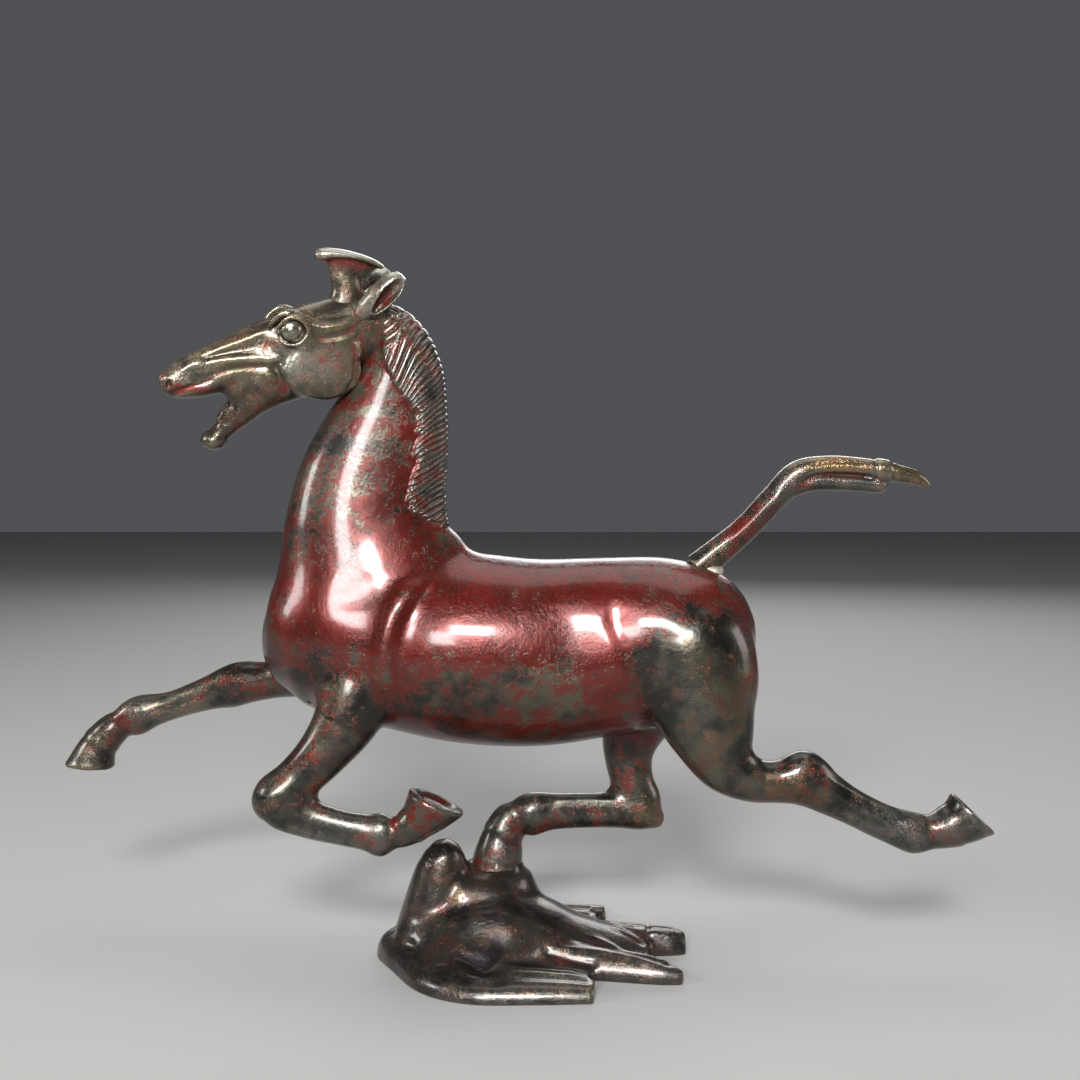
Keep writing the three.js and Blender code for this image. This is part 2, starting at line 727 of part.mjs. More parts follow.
// ---- Assembly -----------------------------------------------------------------------------------------

const statue = new THREE.Group();

function add(name, solid, material) {
  const mesh = new THREE.Mesh(geometryOf(solid), material);
  mesh.name = name;
  statue.add(mesh);
}

const { redBronze, darkBronze, solder, steel } = MATERIALS;

// Body halves, hollow, with sockets and pin holes, parted along the middle of the horse.
const outside = bodyForm();
const sockets = Object.values(LEGS).flatMap((leg) => [tenon(leg, GAP), legPin(leg, GAP)]);
const tail = tailForm();
const root = tailRoot();
const tailClearance = join(
  solidOf(loft(TAIL, { grow: GAP })),
  solidOf(bar(root.at, root.along, 5 * DEEP_STRETCH + GAP, 2 * GAP)),
);
const body = cut(
  outside,
  bodyHollow(),
  headForm(GAP),
  beyond(CREST_AT, CREST_FACING.clone().negate()),
  ...sockets,
  ...Object.values(LEGS).map(legRoom),
  neckPin(GAP),
  tailClearance,
);
const halfGap = ACROSS.clone().multiplyScalar(GAP / 2);
add('body_left_half', cut(body, beyond(halfGap.clone().negate(), ACROSS)), redBronze);
add('body_right_half', cut(body, beyond(halfGap, ACROSS.clone().negate())), redBronze);

// Head with its spigot, eyes, ears and forelock.
const ears = earCastings();
const forelock = forelockCasting();
const spigot = solidOf(
  loft(NECK, { steps: 1, from: SPIGOT_FROM, to: SPIGOT_TO, grow: -WALL - SPIGOT_CLEARANCE }),
);
const head = cut(
  join(headForm(), spigot, ...[-1, 1].map((side) => onHead(eyelid(side)))),
  onHead(loft(MOUTH, { sides: 10 })),
  ...[-1, 1].map((side) => onHead(eyeball(side, EYE_RADIUS + GAP))),
  ...ears.flatMap((ear) => [ear.clear, ear.hole]),
  forelock.hole,
  neckPin(GAP),
);
add('head', head, redBronze);
add('neck_pin', neckPin(0).intersect(outside), darkBronze);
for (const side of [-1, 1]) {
  add(side > 0 ? 'right_eye' : 'left_eye', onHead(eyeball(side, EYE_RADIUS)), darkBronze);
}
for (const ear of ears) add(ear.name, join(ear.shell, ear.peg), darkBronze);
add(forelock.name, join(cut(forelock.shell, headForm(GAP)), forelock.peg), redBronze);

// Legs with their pins. The right hind leg is drilled for the stud and its pin.
const studHole = onStudAxis(STUD_RADIUS + GAP, SOLE.z - 1, STUD_TOP + GAP);
for (const [name, leg] of Object.entries(LEGS)) {
  const holes = name === 'right_hind' ? [studHole, hoofPin(GAP)] : [];
  add(`${name}_leg`, cut(legForm(leg), legPin(leg, GAP), ...holes), darkBronze);
  add(`${name}_pin`, legPin(leg, 0).intersect(outside), darkBronze);
}

add('tail', tail, redBronze);
const bead = cut(solderBead(), outside, tailClearance);
add('tail_solder', bead, solder);

// Swallow, stud, washer, nut and hoof pin.
add('swallow', swallowForm(), darkBronze);
add('stud', cut(onStudAxis(STUD_RADIUS, STUD_FOOT, STUD_TOP), hoofPin(GAP)), steel);
add('hoof_pin', hoofPin(0).intersect(legForm(LEGS.right_hind)), steel);
add(
  'washer',
  cut(
    onStudAxis(WASHER_RADIUS, POCKET_Z - GAP - WASHER_THICKNESS, POCKET_Z - GAP),
    onStudAxis(STUD_RADIUS + GAP, STUD_FOOT, STUD_TOP),
  ),
  steel,
);
add(
  'nut',
  cut(
    onStudAxis(NUT_ACROSS_FLATS / Math.sqrt(3), NUT_TOP - NUT_HEIGHT, NUT_TOP, 6),
    onStudAxis(STUD_RADIUS + GAP, STUD_FOOT, STUD_TOP),
  ),
  steel,
);

// The frame's origin is under the middle of the statue, on the surface it stands on.
const box = new THREE.Box3().setFromObject(statue);
const centre = box.getCenter(new THREE.Vector3());
statue.position.set(-centre.x, -centre.y, 0);

export default statue;
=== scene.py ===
"""Looks of a cast bronze horse that gallops with one hind hoof on a flying swallow.

Every casting is modelled in the drawing's millimetres: oval lofts are fused by a voxel
remesh, worked over as clay is, painted with the zones of its patina, parted where the
foundry parts it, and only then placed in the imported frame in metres.
"""

from __future__ import annotations

import json
import logging
import math
from dataclasses import dataclass, field
from enum import Enum
from typing import Callable, Iterable, Sequence

import bmesh
import bpy
import numpy as np
from mathutils import Matrix, Vector

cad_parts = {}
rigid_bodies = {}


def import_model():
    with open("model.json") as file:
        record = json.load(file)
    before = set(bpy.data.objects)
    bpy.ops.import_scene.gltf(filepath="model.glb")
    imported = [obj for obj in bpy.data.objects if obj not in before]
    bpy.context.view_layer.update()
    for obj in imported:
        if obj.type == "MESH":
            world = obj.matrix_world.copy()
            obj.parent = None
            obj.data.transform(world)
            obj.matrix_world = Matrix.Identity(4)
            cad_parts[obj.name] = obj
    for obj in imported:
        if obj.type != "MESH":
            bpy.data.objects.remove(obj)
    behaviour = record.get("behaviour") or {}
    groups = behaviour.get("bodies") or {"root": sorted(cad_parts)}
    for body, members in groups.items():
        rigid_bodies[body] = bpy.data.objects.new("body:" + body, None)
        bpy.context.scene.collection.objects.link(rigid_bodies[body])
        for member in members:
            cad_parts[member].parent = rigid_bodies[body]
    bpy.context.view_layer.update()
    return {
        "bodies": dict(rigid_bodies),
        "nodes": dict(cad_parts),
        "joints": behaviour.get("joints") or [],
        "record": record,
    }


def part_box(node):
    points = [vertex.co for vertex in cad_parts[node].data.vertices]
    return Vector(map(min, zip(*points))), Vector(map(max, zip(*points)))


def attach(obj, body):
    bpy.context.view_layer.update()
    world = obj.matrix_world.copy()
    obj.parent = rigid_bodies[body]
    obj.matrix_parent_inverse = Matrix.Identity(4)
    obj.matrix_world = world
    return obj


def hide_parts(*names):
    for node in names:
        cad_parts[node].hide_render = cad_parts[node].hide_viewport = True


LOG = logging.getLogger("bronze_horse")

MM = 0.001
DRAWN_STRETCH = np.array([1.0, 77 / 77.1, 227 / 227.5])  # drawn size to made size
STUD_AXIS = (-3.0, 8.5)  # the stud's place in the drawing
HAIR = 0.006  # half of the brazed seam between castings
SEAM_REACH = 4.0  # how far a leg's cut reaches from its middle, in leg radii; 3 leaves it open
SEAM_SLAB = 4.0  # how far to each side of a leg's cut the clay is looked at
SPOT_EDGE = 1.5  # how quickly a painted spot fades
SEEN = 3.0  # how many widths away a ridge still counts
HEAD_TURN, HEAD_TILT = 20, 13  # degrees
CROWN = (-42, 0, 198)  # what the head is turned about
RED, GOLD, DARK, STEEL = "red", "gold", "dark", "steel"
HOLLOW, PROUD = "hollow", "proud"

Rows = Sequence[Sequence[float]]
Path = Sequence[tuple[float, float]]


class Lie(Enum):
    """Which way a loft's sections stay square."""

    UPRIGHT = "square to the horse's width"
    FLAT = "square to the ground"


# ---- Lofts ----------------------------------------------------------------------------


def spline(rows: np.ndarray, step: float) -> np.ndarray:
    """Draws a smooth line through rows.

    Args:
        rows: One row per section, with the place in the first three columns.
        step: Distance between the points of the line.

    Returns:
        The rows of the line: places centripetal, the other columns uniform.
    """
    padded = np.vstack([2 * rows[0] - rows[1], rows, 2 * rows[-1] - rows[-2]])
    made = []
    for i in range(len(rows) - 1):
        p0, p1, p2, p3 = padded[i : i + 4]
        count = max(2, math.ceil(np.linalg.norm((p2 - p1)[:3]) / step))
        last = i == len(rows) - 2
        f = np.linspace(0, 1, count + last, endpoint=last)[:, None]
        square, cube = 2 * p0 - 5 * p1 + 4 * p2 - p3, 3 * p1 - p0 - 3 * p2 + p3
        even = 0.5 * (2 * p1 + (p2 - p0) * f + square * f**2 + cube * f**3)
        gaps = [max(1e-3, math.sqrt(np.linalg.norm((b - a)[:3]))) for a, b in ((p0, p1), (p1, p2), (p2, p3))]
        t0, t1, t2, t3 = np.cumsum([0.0, *gaps])
        t = t1 + (t2 - t1) * f
        a1 = (t1 - t) / (t1 - t0) * p0 + (t - t0) / (t1 - t0) * p1
        a2 = (t2 - t) / (t2 - t1) * p1 + (t - t1) / (t2 - t1) * p2
        a3 = (t3 - t) / (t3 - t2) * p2 + (t - t2) / (t3 - t2) * p3
        b1 = (t2 - t) / (t2 - t0) * a1 + (t - t0) / (t2 - t0) * a2
        b2 = (t3 - t) / (t3 - t1) * a2 + (t - t1) / (t3 - t1) * a3
        line = (t2 - t) / (t2 - t1) * b1 + (t - t1) / (t2 - t1) * b2
        even[:, :3] = line[:, :3]
        made.append(even)
    return np.vstack(made)


def unit(rows: np.ndarray) -> np.ndarray:
    """Scales each row to length one."""
    return rows / np.maximum(1e-9, np.linalg.norm(rows, axis=-1, keepdims=True))


@dataclass(frozen=True)
class Loft:
    """A closed form through oval sections.

    A row is centre x, y, z, half width across, half depth, and a taper that may be left out.
    """

    rows: Rows
    sides: int = 40
    step: float = 1.3
    lie: Lie = Lie.UPRIGHT
    cut: tuple[Sequence[float], Sequence[float]] | None = None  # plane: point, facing

    def mirrored(self) -> Loft:
        """The same loft on the other flank."""
        rows = [(r[0], -r[1], *r[2:]) for r in self.rows]
        return Loft(rows, self.sides, self.step, self.lie, self.cut)

    def rings(self) -> tuple[np.ndarray, np.ndarray, np.ndarray, np.ndarray]:
        """Works out the rings of the loft.

        Returns:
            Centres, across directions, deep directions, and half width, half depth, taper.
        """
        rows = np.array([[*r, 0.0][:6] for r in self.rows], float)
        line = spline(rows, self.step)
        at, size = line[:, :3], line[:, 3:]
        along = unit(np.gradient(at, axis=0))
        fixed = np.array([0.0, 1.0, 0.0] if self.lie is Lie.UPRIGHT else [0.0, 0.0, 1.0])
        fixed = unit(fixed - along * (along @ fixed)[:, None])
        if self.lie is Lie.UPRIGHT:
            return at, fixed, np.cross(fixed, along), size
        return at, np.cross(along, fixed), fixed, size

    def add_to(self, bm: bmesh.types.BMesh, grow: float = 0.0) -> None:
        """Adds the closed loft to a bmesh.

        Args:
            bm: Where the loft goes.
            grow: Added to each half size.
        """
        own = bmesh.new()
        corner = own.verts.layers.int.new("corner")
        ring = bmesh.ops.create_circle(own, segments=self.sides, radius=1.0)["verts"]
        for number, vert in enumerate(ring):
            vert[corner] = number
        edges = list(own.edges)
        foot = edges
        turn = np.linspace(0, 2 * math.pi, self.sides, endpoint=False)
        for k, (at, across, deep, size) in enumerate(zip(*self.rings())):
            if k:
                made = bmesh.ops.extrude_edge_only(own, edges=edges)["geom"]
                ring = [g for g in made if isinstance(g, bmesh.types.BMVert)]
                edges = [g for g in made if isinstance(g, bmesh.types.BMEdge) and g.is_boundary]
            wide, high = max(0.3, size[0] + grow), max(0.3, size[1] + grow)
            places = (
                at
                + np.outer(np.cos(turn) * wide * (1 + size[2] * np.sin(turn)), across)
                + np.outer(np.sin(turn) * high, deep)
            )
            for vert in ring:
                vert.co = places[vert[corner]]
        bmesh.ops.edgeloop_fill(own, edges=foot)
        bmesh.ops.edgeloop_fill(own, edges=edges)
        if self.cut:
            point, facing = self.cut
            cut = bmesh.ops.bisect_plane(
                own, geom=[*own.verts, *own.edges, *own.faces], plane_co=point, plane_no=facing, clear_outer=True
            )["geom_cut"]
            bmesh.ops.edgeloop_fill(own, edges=[g for g in cut if isinstance(g, bmesh.types.BMEdge)])
        bmesh.ops.recalc_face_normals(own, faces=list(own.faces))
        pour(own, bm)


def pour(own: bmesh.types.BMesh, into: bmesh.types.BMesh) -> None:
    """Adds one bmesh to another and frees it."""
    carrier = bpy.data.meshes.new("carrier")
    own.to_mesh(carrier)
    own.free()
    into.from_mesh(carrier)
    bpy.data.meshes.remove(carrier)


def ball(bm: bmesh.types.BMesh, at: Sequence[float], radii: Sequence[float], turns: int = 32) -> None:
    """Adds an ellipsoid to a bmesh."""
    own = bmesh.new()
    bmesh.ops.create_uvsphere(own, u_segments=turns, v_segments=turns // 2, radius=1.0)
    bmesh.ops.scale(own, vec=radii, verts=own.verts)
    bmesh.ops.translate(own, vec=at, verts=own.verts)
    pour(own, bm)


def bent_rod(bm: bmesh.types.BMesh, points: Rows, radii: Sequence[float], sides: int = 14) -> None:
    """Adds a round rod along a line whose radius changes from point to point."""
    rows = [(*p, r, r) for p, r in zip(points, radii)]
    Loft(rows, sides=sides, step=0.5).add_to(bm)


# ---- Clay -----------------------------------------------------------------------------


class Clay:
    """A closed mesh that is worked over, in drawn millimetres."""

    def __init__(self, bm: bmesh.types.BMesh, voxel: float) -> None:
        """Fuses what a bmesh holds.

        Args:
            bm: Closed forms that overlap. It is freed.
            voxel: Grain of the fused mesh.
        """
        self.mesh = bpy.data.meshes.new("clay")
        bm.to_mesh(self.mesh)
        bm.free()
        self.remesh(voxel)

    def read(self) -> None:
        """Takes the points, edges and normals from the mesh."""
        count = len(self.mesh.vertices)
        self.points = np.empty(count * 3)
        self.mesh.vertices.foreach_get("co", self.points)
        self.points = self.points.reshape(-1, 3)
        self.edges = np.empty(len(self.mesh.edges) * 2, np.int64)
        self.mesh.edges.foreach_get("vertices", self.edges)
        self.edges = self.edges.reshape(-1, 2)
        self.degree = np.maximum(1, np.bincount(self.edges.ravel(), minlength=count))
        self.settle()

    def settle(self) -> None:
        """Puts the worked points back and takes new normals."""
        self.mesh.vertices.foreach_set("co", self.points.ravel())
        self.mesh.update()
        self.normals = np.empty(len(self.points) * 3)
        self.mesh.vertex_normals.foreach_get("vector", self.normals)
        self.normals = self.normals.reshape(-1, 3)

    def remesh(self, voxel: float) -> None:
        """Fuses the mesh anew with an even grain."""
        self.modify(lambda holder: self._voxels(holder, voxel))

    @staticmethod
    def _voxels(holder: bpy.types.Object, voxel: float) -> None:
        """Adds the voxel modifier."""
        grain = holder.modifiers.new("voxels", "REMESH")
        grain.mode = "VOXEL"
        grain.voxel_size = voxel

    def modify(self, dress: Callable[[bpy.types.Object], None]) -> None:
        """Applies modifiers to the mesh.

        Args:
            dress: Adds the modifiers to an object that holds the mesh.
        """
        holder = bpy.data.objects.new("holder", self.mesh)
        bpy.context.scene.collection.objects.link(holder)
        dress(holder)
        graph = bpy.context.evaluated_depsgraph_get()
        made = bpy.data.meshes.new_from_object(holder.evaluated_get(graph), depsgraph=graph)
        bpy.data.objects.remove(holder)
        bpy.data.meshes.remove(self.mesh)
        self.mesh = made
        self.read()

    def carve(self, bm: bmesh.types.BMesh) -> None:
        """Cuts closed forms out of the clay.

        Args:
            bm: The closed forms. It is freed.
        """
        tool_mesh = bpy.data.meshes.new("tool")
        bm.to_mesh(tool_mesh)
        bm.free()
        tool = bpy.data.objects.new("tool", tool_mesh)
        bpy.context.scene.collection.objects.link(tool)

        def dress(holder: bpy.types.Object) -> None:
            """Adds the cut."""
            cut = holder.modifiers.new("cut", "BOOLEAN")
            cut.operation = "DIFFERENCE"
            cut.solver = "EXACT"
            cut.use_self = False
            cut.object = tool

        self.modify(dress)
        bpy.data.objects.remove(tool)
        bpy.data.meshes.remove(tool_mesh)

    def average(self, values: np.ndarray) -> np.ndarray:
        """Gives each point the mean of its neighbours' values."""
        a, b = self.edges.T
        size = len(self.points)
        columns = values.reshape(size, -1)
        total = [
            np.bincount(a, columns[b, k], size) + np.bincount(b, columns[a, k], size) for k in range(columns.shape[1])
        ]
        return (np.stack(total, axis=1) / self.degree[:, None]).reshape(values.shape)

    def smooth(self, rounds: int, weight: float | np.ndarray = 0.5, fill: bool = False) -> None:
        """Rubs the clay smooth.

        Args:
            rounds: How many times.
            weight: How much of the way to the neighbours' mean, for all points or for each.
            fill: Only raises hollows, as a fillet does.
        """
        share = np.asarray(weight, float).reshape(-1, 1)
        for number in range(rounds):
            move = self.average(self.points) - self.points
            if fill:
                rise = np.einsum("ij,ij->i", move, self.normals)
                move *= (rise > 0)[:, None]
            self.points += share * move
            if fill and number % 8 == 7:
                self.settle()
        self.settle()

    def refine(self, chosen: np.ndarray) -> None:
        """Halves the grain where chosen is true."""
        bm = bmesh.new()
        bm.from_mesh(self.mesh)
        bm.verts.ensure_lookup_table()
        edges = [e for e in bm.edges if chosen[e.verts[0].index] and chosen[e.verts[1].index]]
        bmesh.ops.subdivide_edges(bm, edges=edges, cuts=1, use_grid_fill=True)
        bmesh.ops.triangulate(bm, faces=[f for f in bm.faces if len(f.verts) > 4])
        bm.to_mesh(self.mesh)
        bm.free()
        self.read()

    # -- marks ------------------------------------------------------------------------

    def beside(
        self, path: Path, reach: float, ends: float = 0.0, axes: tuple[int, int] = (0, 2)
    ) -> tuple[np.ndarray, np.ndarray, np.ndarray]:
        """Measures points against a line, both seen from the side or from above.

        Args:
            path: Points of the line.
            reach: How far from the line points are measured.
            ends: Length over which a mark fades at each end of the line.
            axes: The two axes of the view.

        Returns:
            Indices of the points within reach, signed distance (positive on the left of
            the line's way), and the fade from 0 to 1.
        """
        rows = np.array([(x, 0.0, z) for x, z in path], float)
        line = spline(rows, 0.6)[:, [0, 2]] if len(rows) > 1 else rows[:, [0, 2]]
        low, high = line.min(0) - reach, line.max(0) + reach
        flat = self.points[:, list(axes)]
        near = np.flatnonzero(((flat > low) & (flat < high)).all(1))
        gap = flat[near][:, None, :] - line[None]
        square = (gap**2).sum(2)
        nearest = square.argmin(1)
        distance = np.sqrt(square[np.arange(len(near)), nearest])
        way = unit(np.gradient(line, axis=0))[nearest]
        to = gap[np.arange(len(near)), nearest]
        sign = np.sign(way[:, 0] * to[:, 1] - way[:, 1] * to[:, 0])
        length = np.concatenate([[0.0], np.cumsum(np.linalg.norm(np.diff(line, axis=0), axis=1))])
        s = length[nearest]
        fade = np.ones(len(near)) if ends <= 0 else soft(s / ends) * soft((length[-1] - s) / ends)
        within = distance < reach
        return near[within], (sign * distance)[within], fade[within]

    def ridge(
        self, path: Path, width: float, height: float, ends: float = 3.0,
        keep: Callable[[np.ndarray], np.ndarray] | None = None, axes: tuple[int, int] = (0, 2),
    ) -> None:
        """Raises a rounded ridge along a line, or with a negative height presses a groove.

        Args:
            path: x, z points of the line, seen from the side.
            width: Half width of the ridge.
            height: Height of the ridge.
            ends: Length over which it fades at each end.
            keep: Gives a share from 0 to 1 for each point, to leave parts out.
            axes: The two axes of the view that the line is drawn in.
        """
        near, distance, fade = self.beside(path, SEEN * width, ends, axes)
        lift = height * np.exp(-((distance / width) ** 2)) * fade
        if keep is not None:
            lift = lift * keep(self.points[near])
        self.points[near] += self.normals[near] * lift[:, None]

    def ledge(
        self, path: Path, width: float, height: float, spread: float, ends: float = 3.0,
        keep: Callable[[np.ndarray], np.ndarray] | None = None,
    ) -> None:
        """Raises the left side of a line and presses the right one, with a step between.

        Args:
            path: x, z points of the line, seen from the side.
            width: Width of the step.
            height: Half height of the step.
            spread: How far the raised and pressed bands reach.
            ends: Length over which it fades at each end.
            keep: Gives a share from 0 to 1 for each point, to leave parts out.
        """
        near, distance, fade = self.beside(path, SEEN * spread, ends)
        lift = height * np.tanh(distance / width) * np.exp(-((distance / spread) ** 2)) * fade
        if keep is not None:
            lift = lift * keep(self.points[near])
        self.points[near] += self.normals[near] * lift[:, None]

    def bump(self, at: Sequence[float], radii: Sequence[float], height: float, both: bool = True) -> None:
        """Raises a soft bump, or with a negative height a dent.

        Args:
            at: Centre.
            radii: Its reach in x, y, z.
            height: Its height.
            both: Makes its mirror image too.
        """
        centre = np.array(at, float)
        for sign in (1, -1) if both and abs(centre[1]) > 0.1 else (1,):
            place = centre * [1, sign, 1]
            far = (((self.points - place) / radii) ** 2).sum(1)
            near = np.flatnonzero(far < 9)
            self.points[near] += self.normals[near] * (height * np.exp(-far[near]))[:, None]

    # -- paint ------------------------------------------------------------------------

    def paint(self, name: str, spots: Rows, base: float = 0.0) -> None:
        """Paints an attribute with soft spots seen from the side.

        Args:
            name: The attribute.
            spots: Rows of x, z, reach in x, reach in z, amount added.
            base: The amount elsewhere.
        """
        value = self.value(name) if name in self.mesh.attributes else np.full(len(self.points), base)
        for x, z, wide, high, amount in spots:
            far = ((self.points[:, 0] - x) / wide) ** 2 + ((self.points[:, 2] - z) / high) ** 2
            value += amount * np.exp(-(far**SPOT_EDGE))
        self.store(name, value)

    def value(self, name: str) -> np.ndarray:
        """Reads an attribute."""
        found = np.empty(len(self.points), np.float32)
        self.mesh.attributes[name].data.foreach_get("value", found)
        return found.astype(float)

    def store(self, name: str, value: np.ndarray) -> None:
        """Writes an attribute."""
        layer = self.mesh.attributes.get(name) or self.mesh.attributes.new(name, "FLOAT", "POINT")
        layer.data.foreach_set("value", value.astype(np.float32))

    def weather(self, rounds: int = 14, depth: float = 0.16) -> None:
        """Stores where the surface is hollow, which keeps colour, and where it is proud, which is rubbed.

        Args:
            rounds: How wide a hollow counts.
            depth: The depth that counts fully.
        """
        worked = self.points.copy()
        for _ in range(rounds):
            worked += 0.6 * (self.average(worked) - worked)
        rise = np.einsum("ij,ij->i", worked - self.points, self.normals) / depth
        rise = self.average(self.average(rise))
        self.store(HOLLOW, np.clip(rise, 0, 1))
        self.store(PROUD, np.clip(-rise, 0, 1))


def soft(x: np.ndarray) -> np.ndarray:
    """Smooth step from 0 to 1."""
    x = np.clip(x, 0, 1)
    return x * x * (3 - 2 * x)


def on_left_legs(points: np.ndarray) -> np.ndarray:
    """One for each point on the left legs, else zero."""
    return (points[:, 1] < -6).astype(float)


def on_right_legs(points: np.ndarray) -> np.ndarray:
    """One for each point on the right legs, else zero."""
    return (points[:, 1] > 5).astype(float)


def on_wings(points: np.ndarray) -> np.ndarray:
    """One on the swallow's low wings and tail, fading to zero up its back."""
    return soft((10.5 - points[:, 2]) / 3)


# ---- Placing in the frame -------------------------------------------------------------


@dataclass
class Shop:
    """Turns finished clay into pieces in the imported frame."""

    offset: np.ndarray
    turn_head: Matrix

    @classmethod
    def open(cls) -> Shop:
        """Finds where the drawing lies in the frame."""
        low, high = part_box("stud")
        middle = (low + high) / 2
        drawn = np.array([*STUD_AXIS, 0.0]) * DRAWN_STRETCH * MM
        offset = np.array([middle.x, middle.y, 0.0]) - drawn
        crown = Vector(CROWN)
        turn = Matrix.Rotation(math.radians(HEAD_TURN), 4, "Z") @ Matrix.Rotation(math.radians(HEAD_TILT), 4, "X")
        return cls(offset, Matrix.Translation(crown) @ turn @ Matrix.Translation(-crown))

    def place(self, point: Sequence[float]) -> Vector:
        """Moves a drawn point into the frame."""
        return Vector(np.array(point, float) * DRAWN_STRETCH * MM + self.offset)

    def piece(
        self, name: str, mesh: bpy.types.Mesh, finish: bpy.types.Material, nodes: Iterable[str],
        on_head: bool = False,
    ) -> bpy.types.Object:
        """Makes a piece of a drawn mesh.

        Args:
            name: The piece's name.
            mesh: Its mesh, in drawn millimetres.
            finish: Its material.
            nodes: The CAD nodes that it stands for.
            on_head: Turns it with the head.

        Returns:
            The piece, riding on the statue.
        """
        if on_head:
            mesh.transform(self.turn_head)
        stretch = Matrix.Diagonal((*(DRAWN_STRETCH * MM), 1.0))
        mesh.transform(Matrix.Translation(self.offset) @ stretch)
        mesh.materials.clear()
        mesh.materials.append(finish)
        mesh.shade_smooth()
        mesh.name = name
        made = bpy.data.objects.new(name, mesh)
        bpy.context.scene.collection.objects.link(made)
        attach(made, "root")
        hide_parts(*nodes)
        LOG.info("%s: %d faces", name, len(mesh.polygons))
        return made


# ---- Finishes -------------------------------------------------------------------------

Colour = tuple[float, float, float]


class Graph:
    """A material's nodes, wired by short calls."""

    def __init__(self, name: str) -> None:
        """Starts a material with a Principled surface."""
        self.material = bpy.data.materials.new(name)
        self.material.use_nodes = True
        self.nodes = self.material.node_tree.nodes
        self.links = self.material.node_tree.links
        self.surface = self.nodes["Principled BSDF"]
        self.coordinates = self.nodes.new("ShaderNodeTexCoord").outputs["Object"]

    def _set(self, socket: bpy.types.NodeSocket, value: object) -> None:
        """Links a socket, or sets its value."""
        if isinstance(value, bpy.types.NodeSocket):
            self.links.new(value, socket)
        elif isinstance(value, tuple) and len(value) == 3 and socket.type == "RGBA":
            socket.default_value = (*value, 1.0)
        else:
            socket.default_value = value

    def noise(self, size: float, detail: float, rough: float, warp: float = 0.0) -> bpy.types.NodeSocket:
        """Noise whose features are size metres wide."""
        made = self.nodes.new("ShaderNodeTexNoise")
        self.links.new(self.coordinates, made.inputs["Vector"])
        for key, value in (("Scale", 1 / size), ("Detail", detail), ("Roughness", rough), ("Distortion", warp)):
            made.inputs[key].default_value = value
        return made.outputs["Fac"]

    def cells(self, size: float) -> bpy.types.NodeSocket:
        """Distance to the nearest of scattered points, in cells of size metres."""
        made = self.nodes.new("ShaderNodeTexVoronoi")
        self.links.new(self.coordinates, made.inputs["Vector"])
        made.inputs["Scale"].default_value = 1 / size
        return made.outputs["Distance"]

    def zone(self, name: str) -> bpy.types.NodeSocket:
        """A painted attribute."""
        made = self.nodes.new("ShaderNodeAttribute")
        made.attribute_name = name
        return made.outputs["Fac"]

    def product(self, a: object, b: object) -> bpy.types.NodeSocket:
        """Multiplies two numbers."""
        made = self.nodes.new("ShaderNodeMath")
        made.operation = "MULTIPLY"
        self._set(made.inputs[0], a)
        self._set(made.inputs[1], b)
        return made.outputs[0]

    def total(self, *terms: tuple[object, float]) -> bpy.types.NodeSocket:
        """Adds terms, each times its weight."""
        made: object = 0.0
        for value, weight in terms:
            step = self.nodes.new("ShaderNodeMath")
            step.operation = "MULTIPLY_ADD"
            self._set(step.inputs[0], value)
            self._set(step.inputs[1], weight)
            self._set(step.inputs[2], made)
            made = step.outputs[0]
        return made

    def step(self, value: object, low: float, high: float) -> bpy.types.NodeSocket:
        """Smooth step of a value between two limits."""
        made = self.nodes.new("ShaderNodeMapRange")
        made.interpolation_type = "SMOOTHSTEP"
        self._set(made.inputs["Value"], value)
        made.inputs["From Min"].default_value = low
        made.inputs["From Max"].default_value = high
        return made.outputs["Result"]

    def mix(self, share: object, a: object, b: object) -> bpy.types.NodeSocket:
        """Mixes two colours."""
        made = self.nodes.new("ShaderNodeMix")
        made.data_type = "RGBA"
        self._set(made.inputs[0], share)
        self._set(made.inputs[6], a)
        self._set(made.inputs[7], b)
        return made.outputs[2]

    def relief(self, *layers: tuple[object, float]) -> None:
        """Stacks bumps, each a height from 0 to 1 and its depth in metres."""
        normal: object = None
        for value, depth in layers:
            made = self.nodes.new("ShaderNodeBump")
            made.inputs["Strength"].default_value = 1.0
            made.inputs["Distance"].default_value = depth
            self._set(made.inputs["Height"], value)
            if normal is not None:
                self.links.new(normal, made.inputs["Normal"])
            normal = made.outputs[0]
        self.links.new(normal, self.surface.inputs["Normal"])

    def wear(self, **inputs: object) -> bpy.types.Material:
        """Sets the surface's sockets, named with underscores, and gives the material."""
        for key, value in inputs.items():
            self._set(self.surface.inputs[key.replace("_", " ")], value)
        return self.material


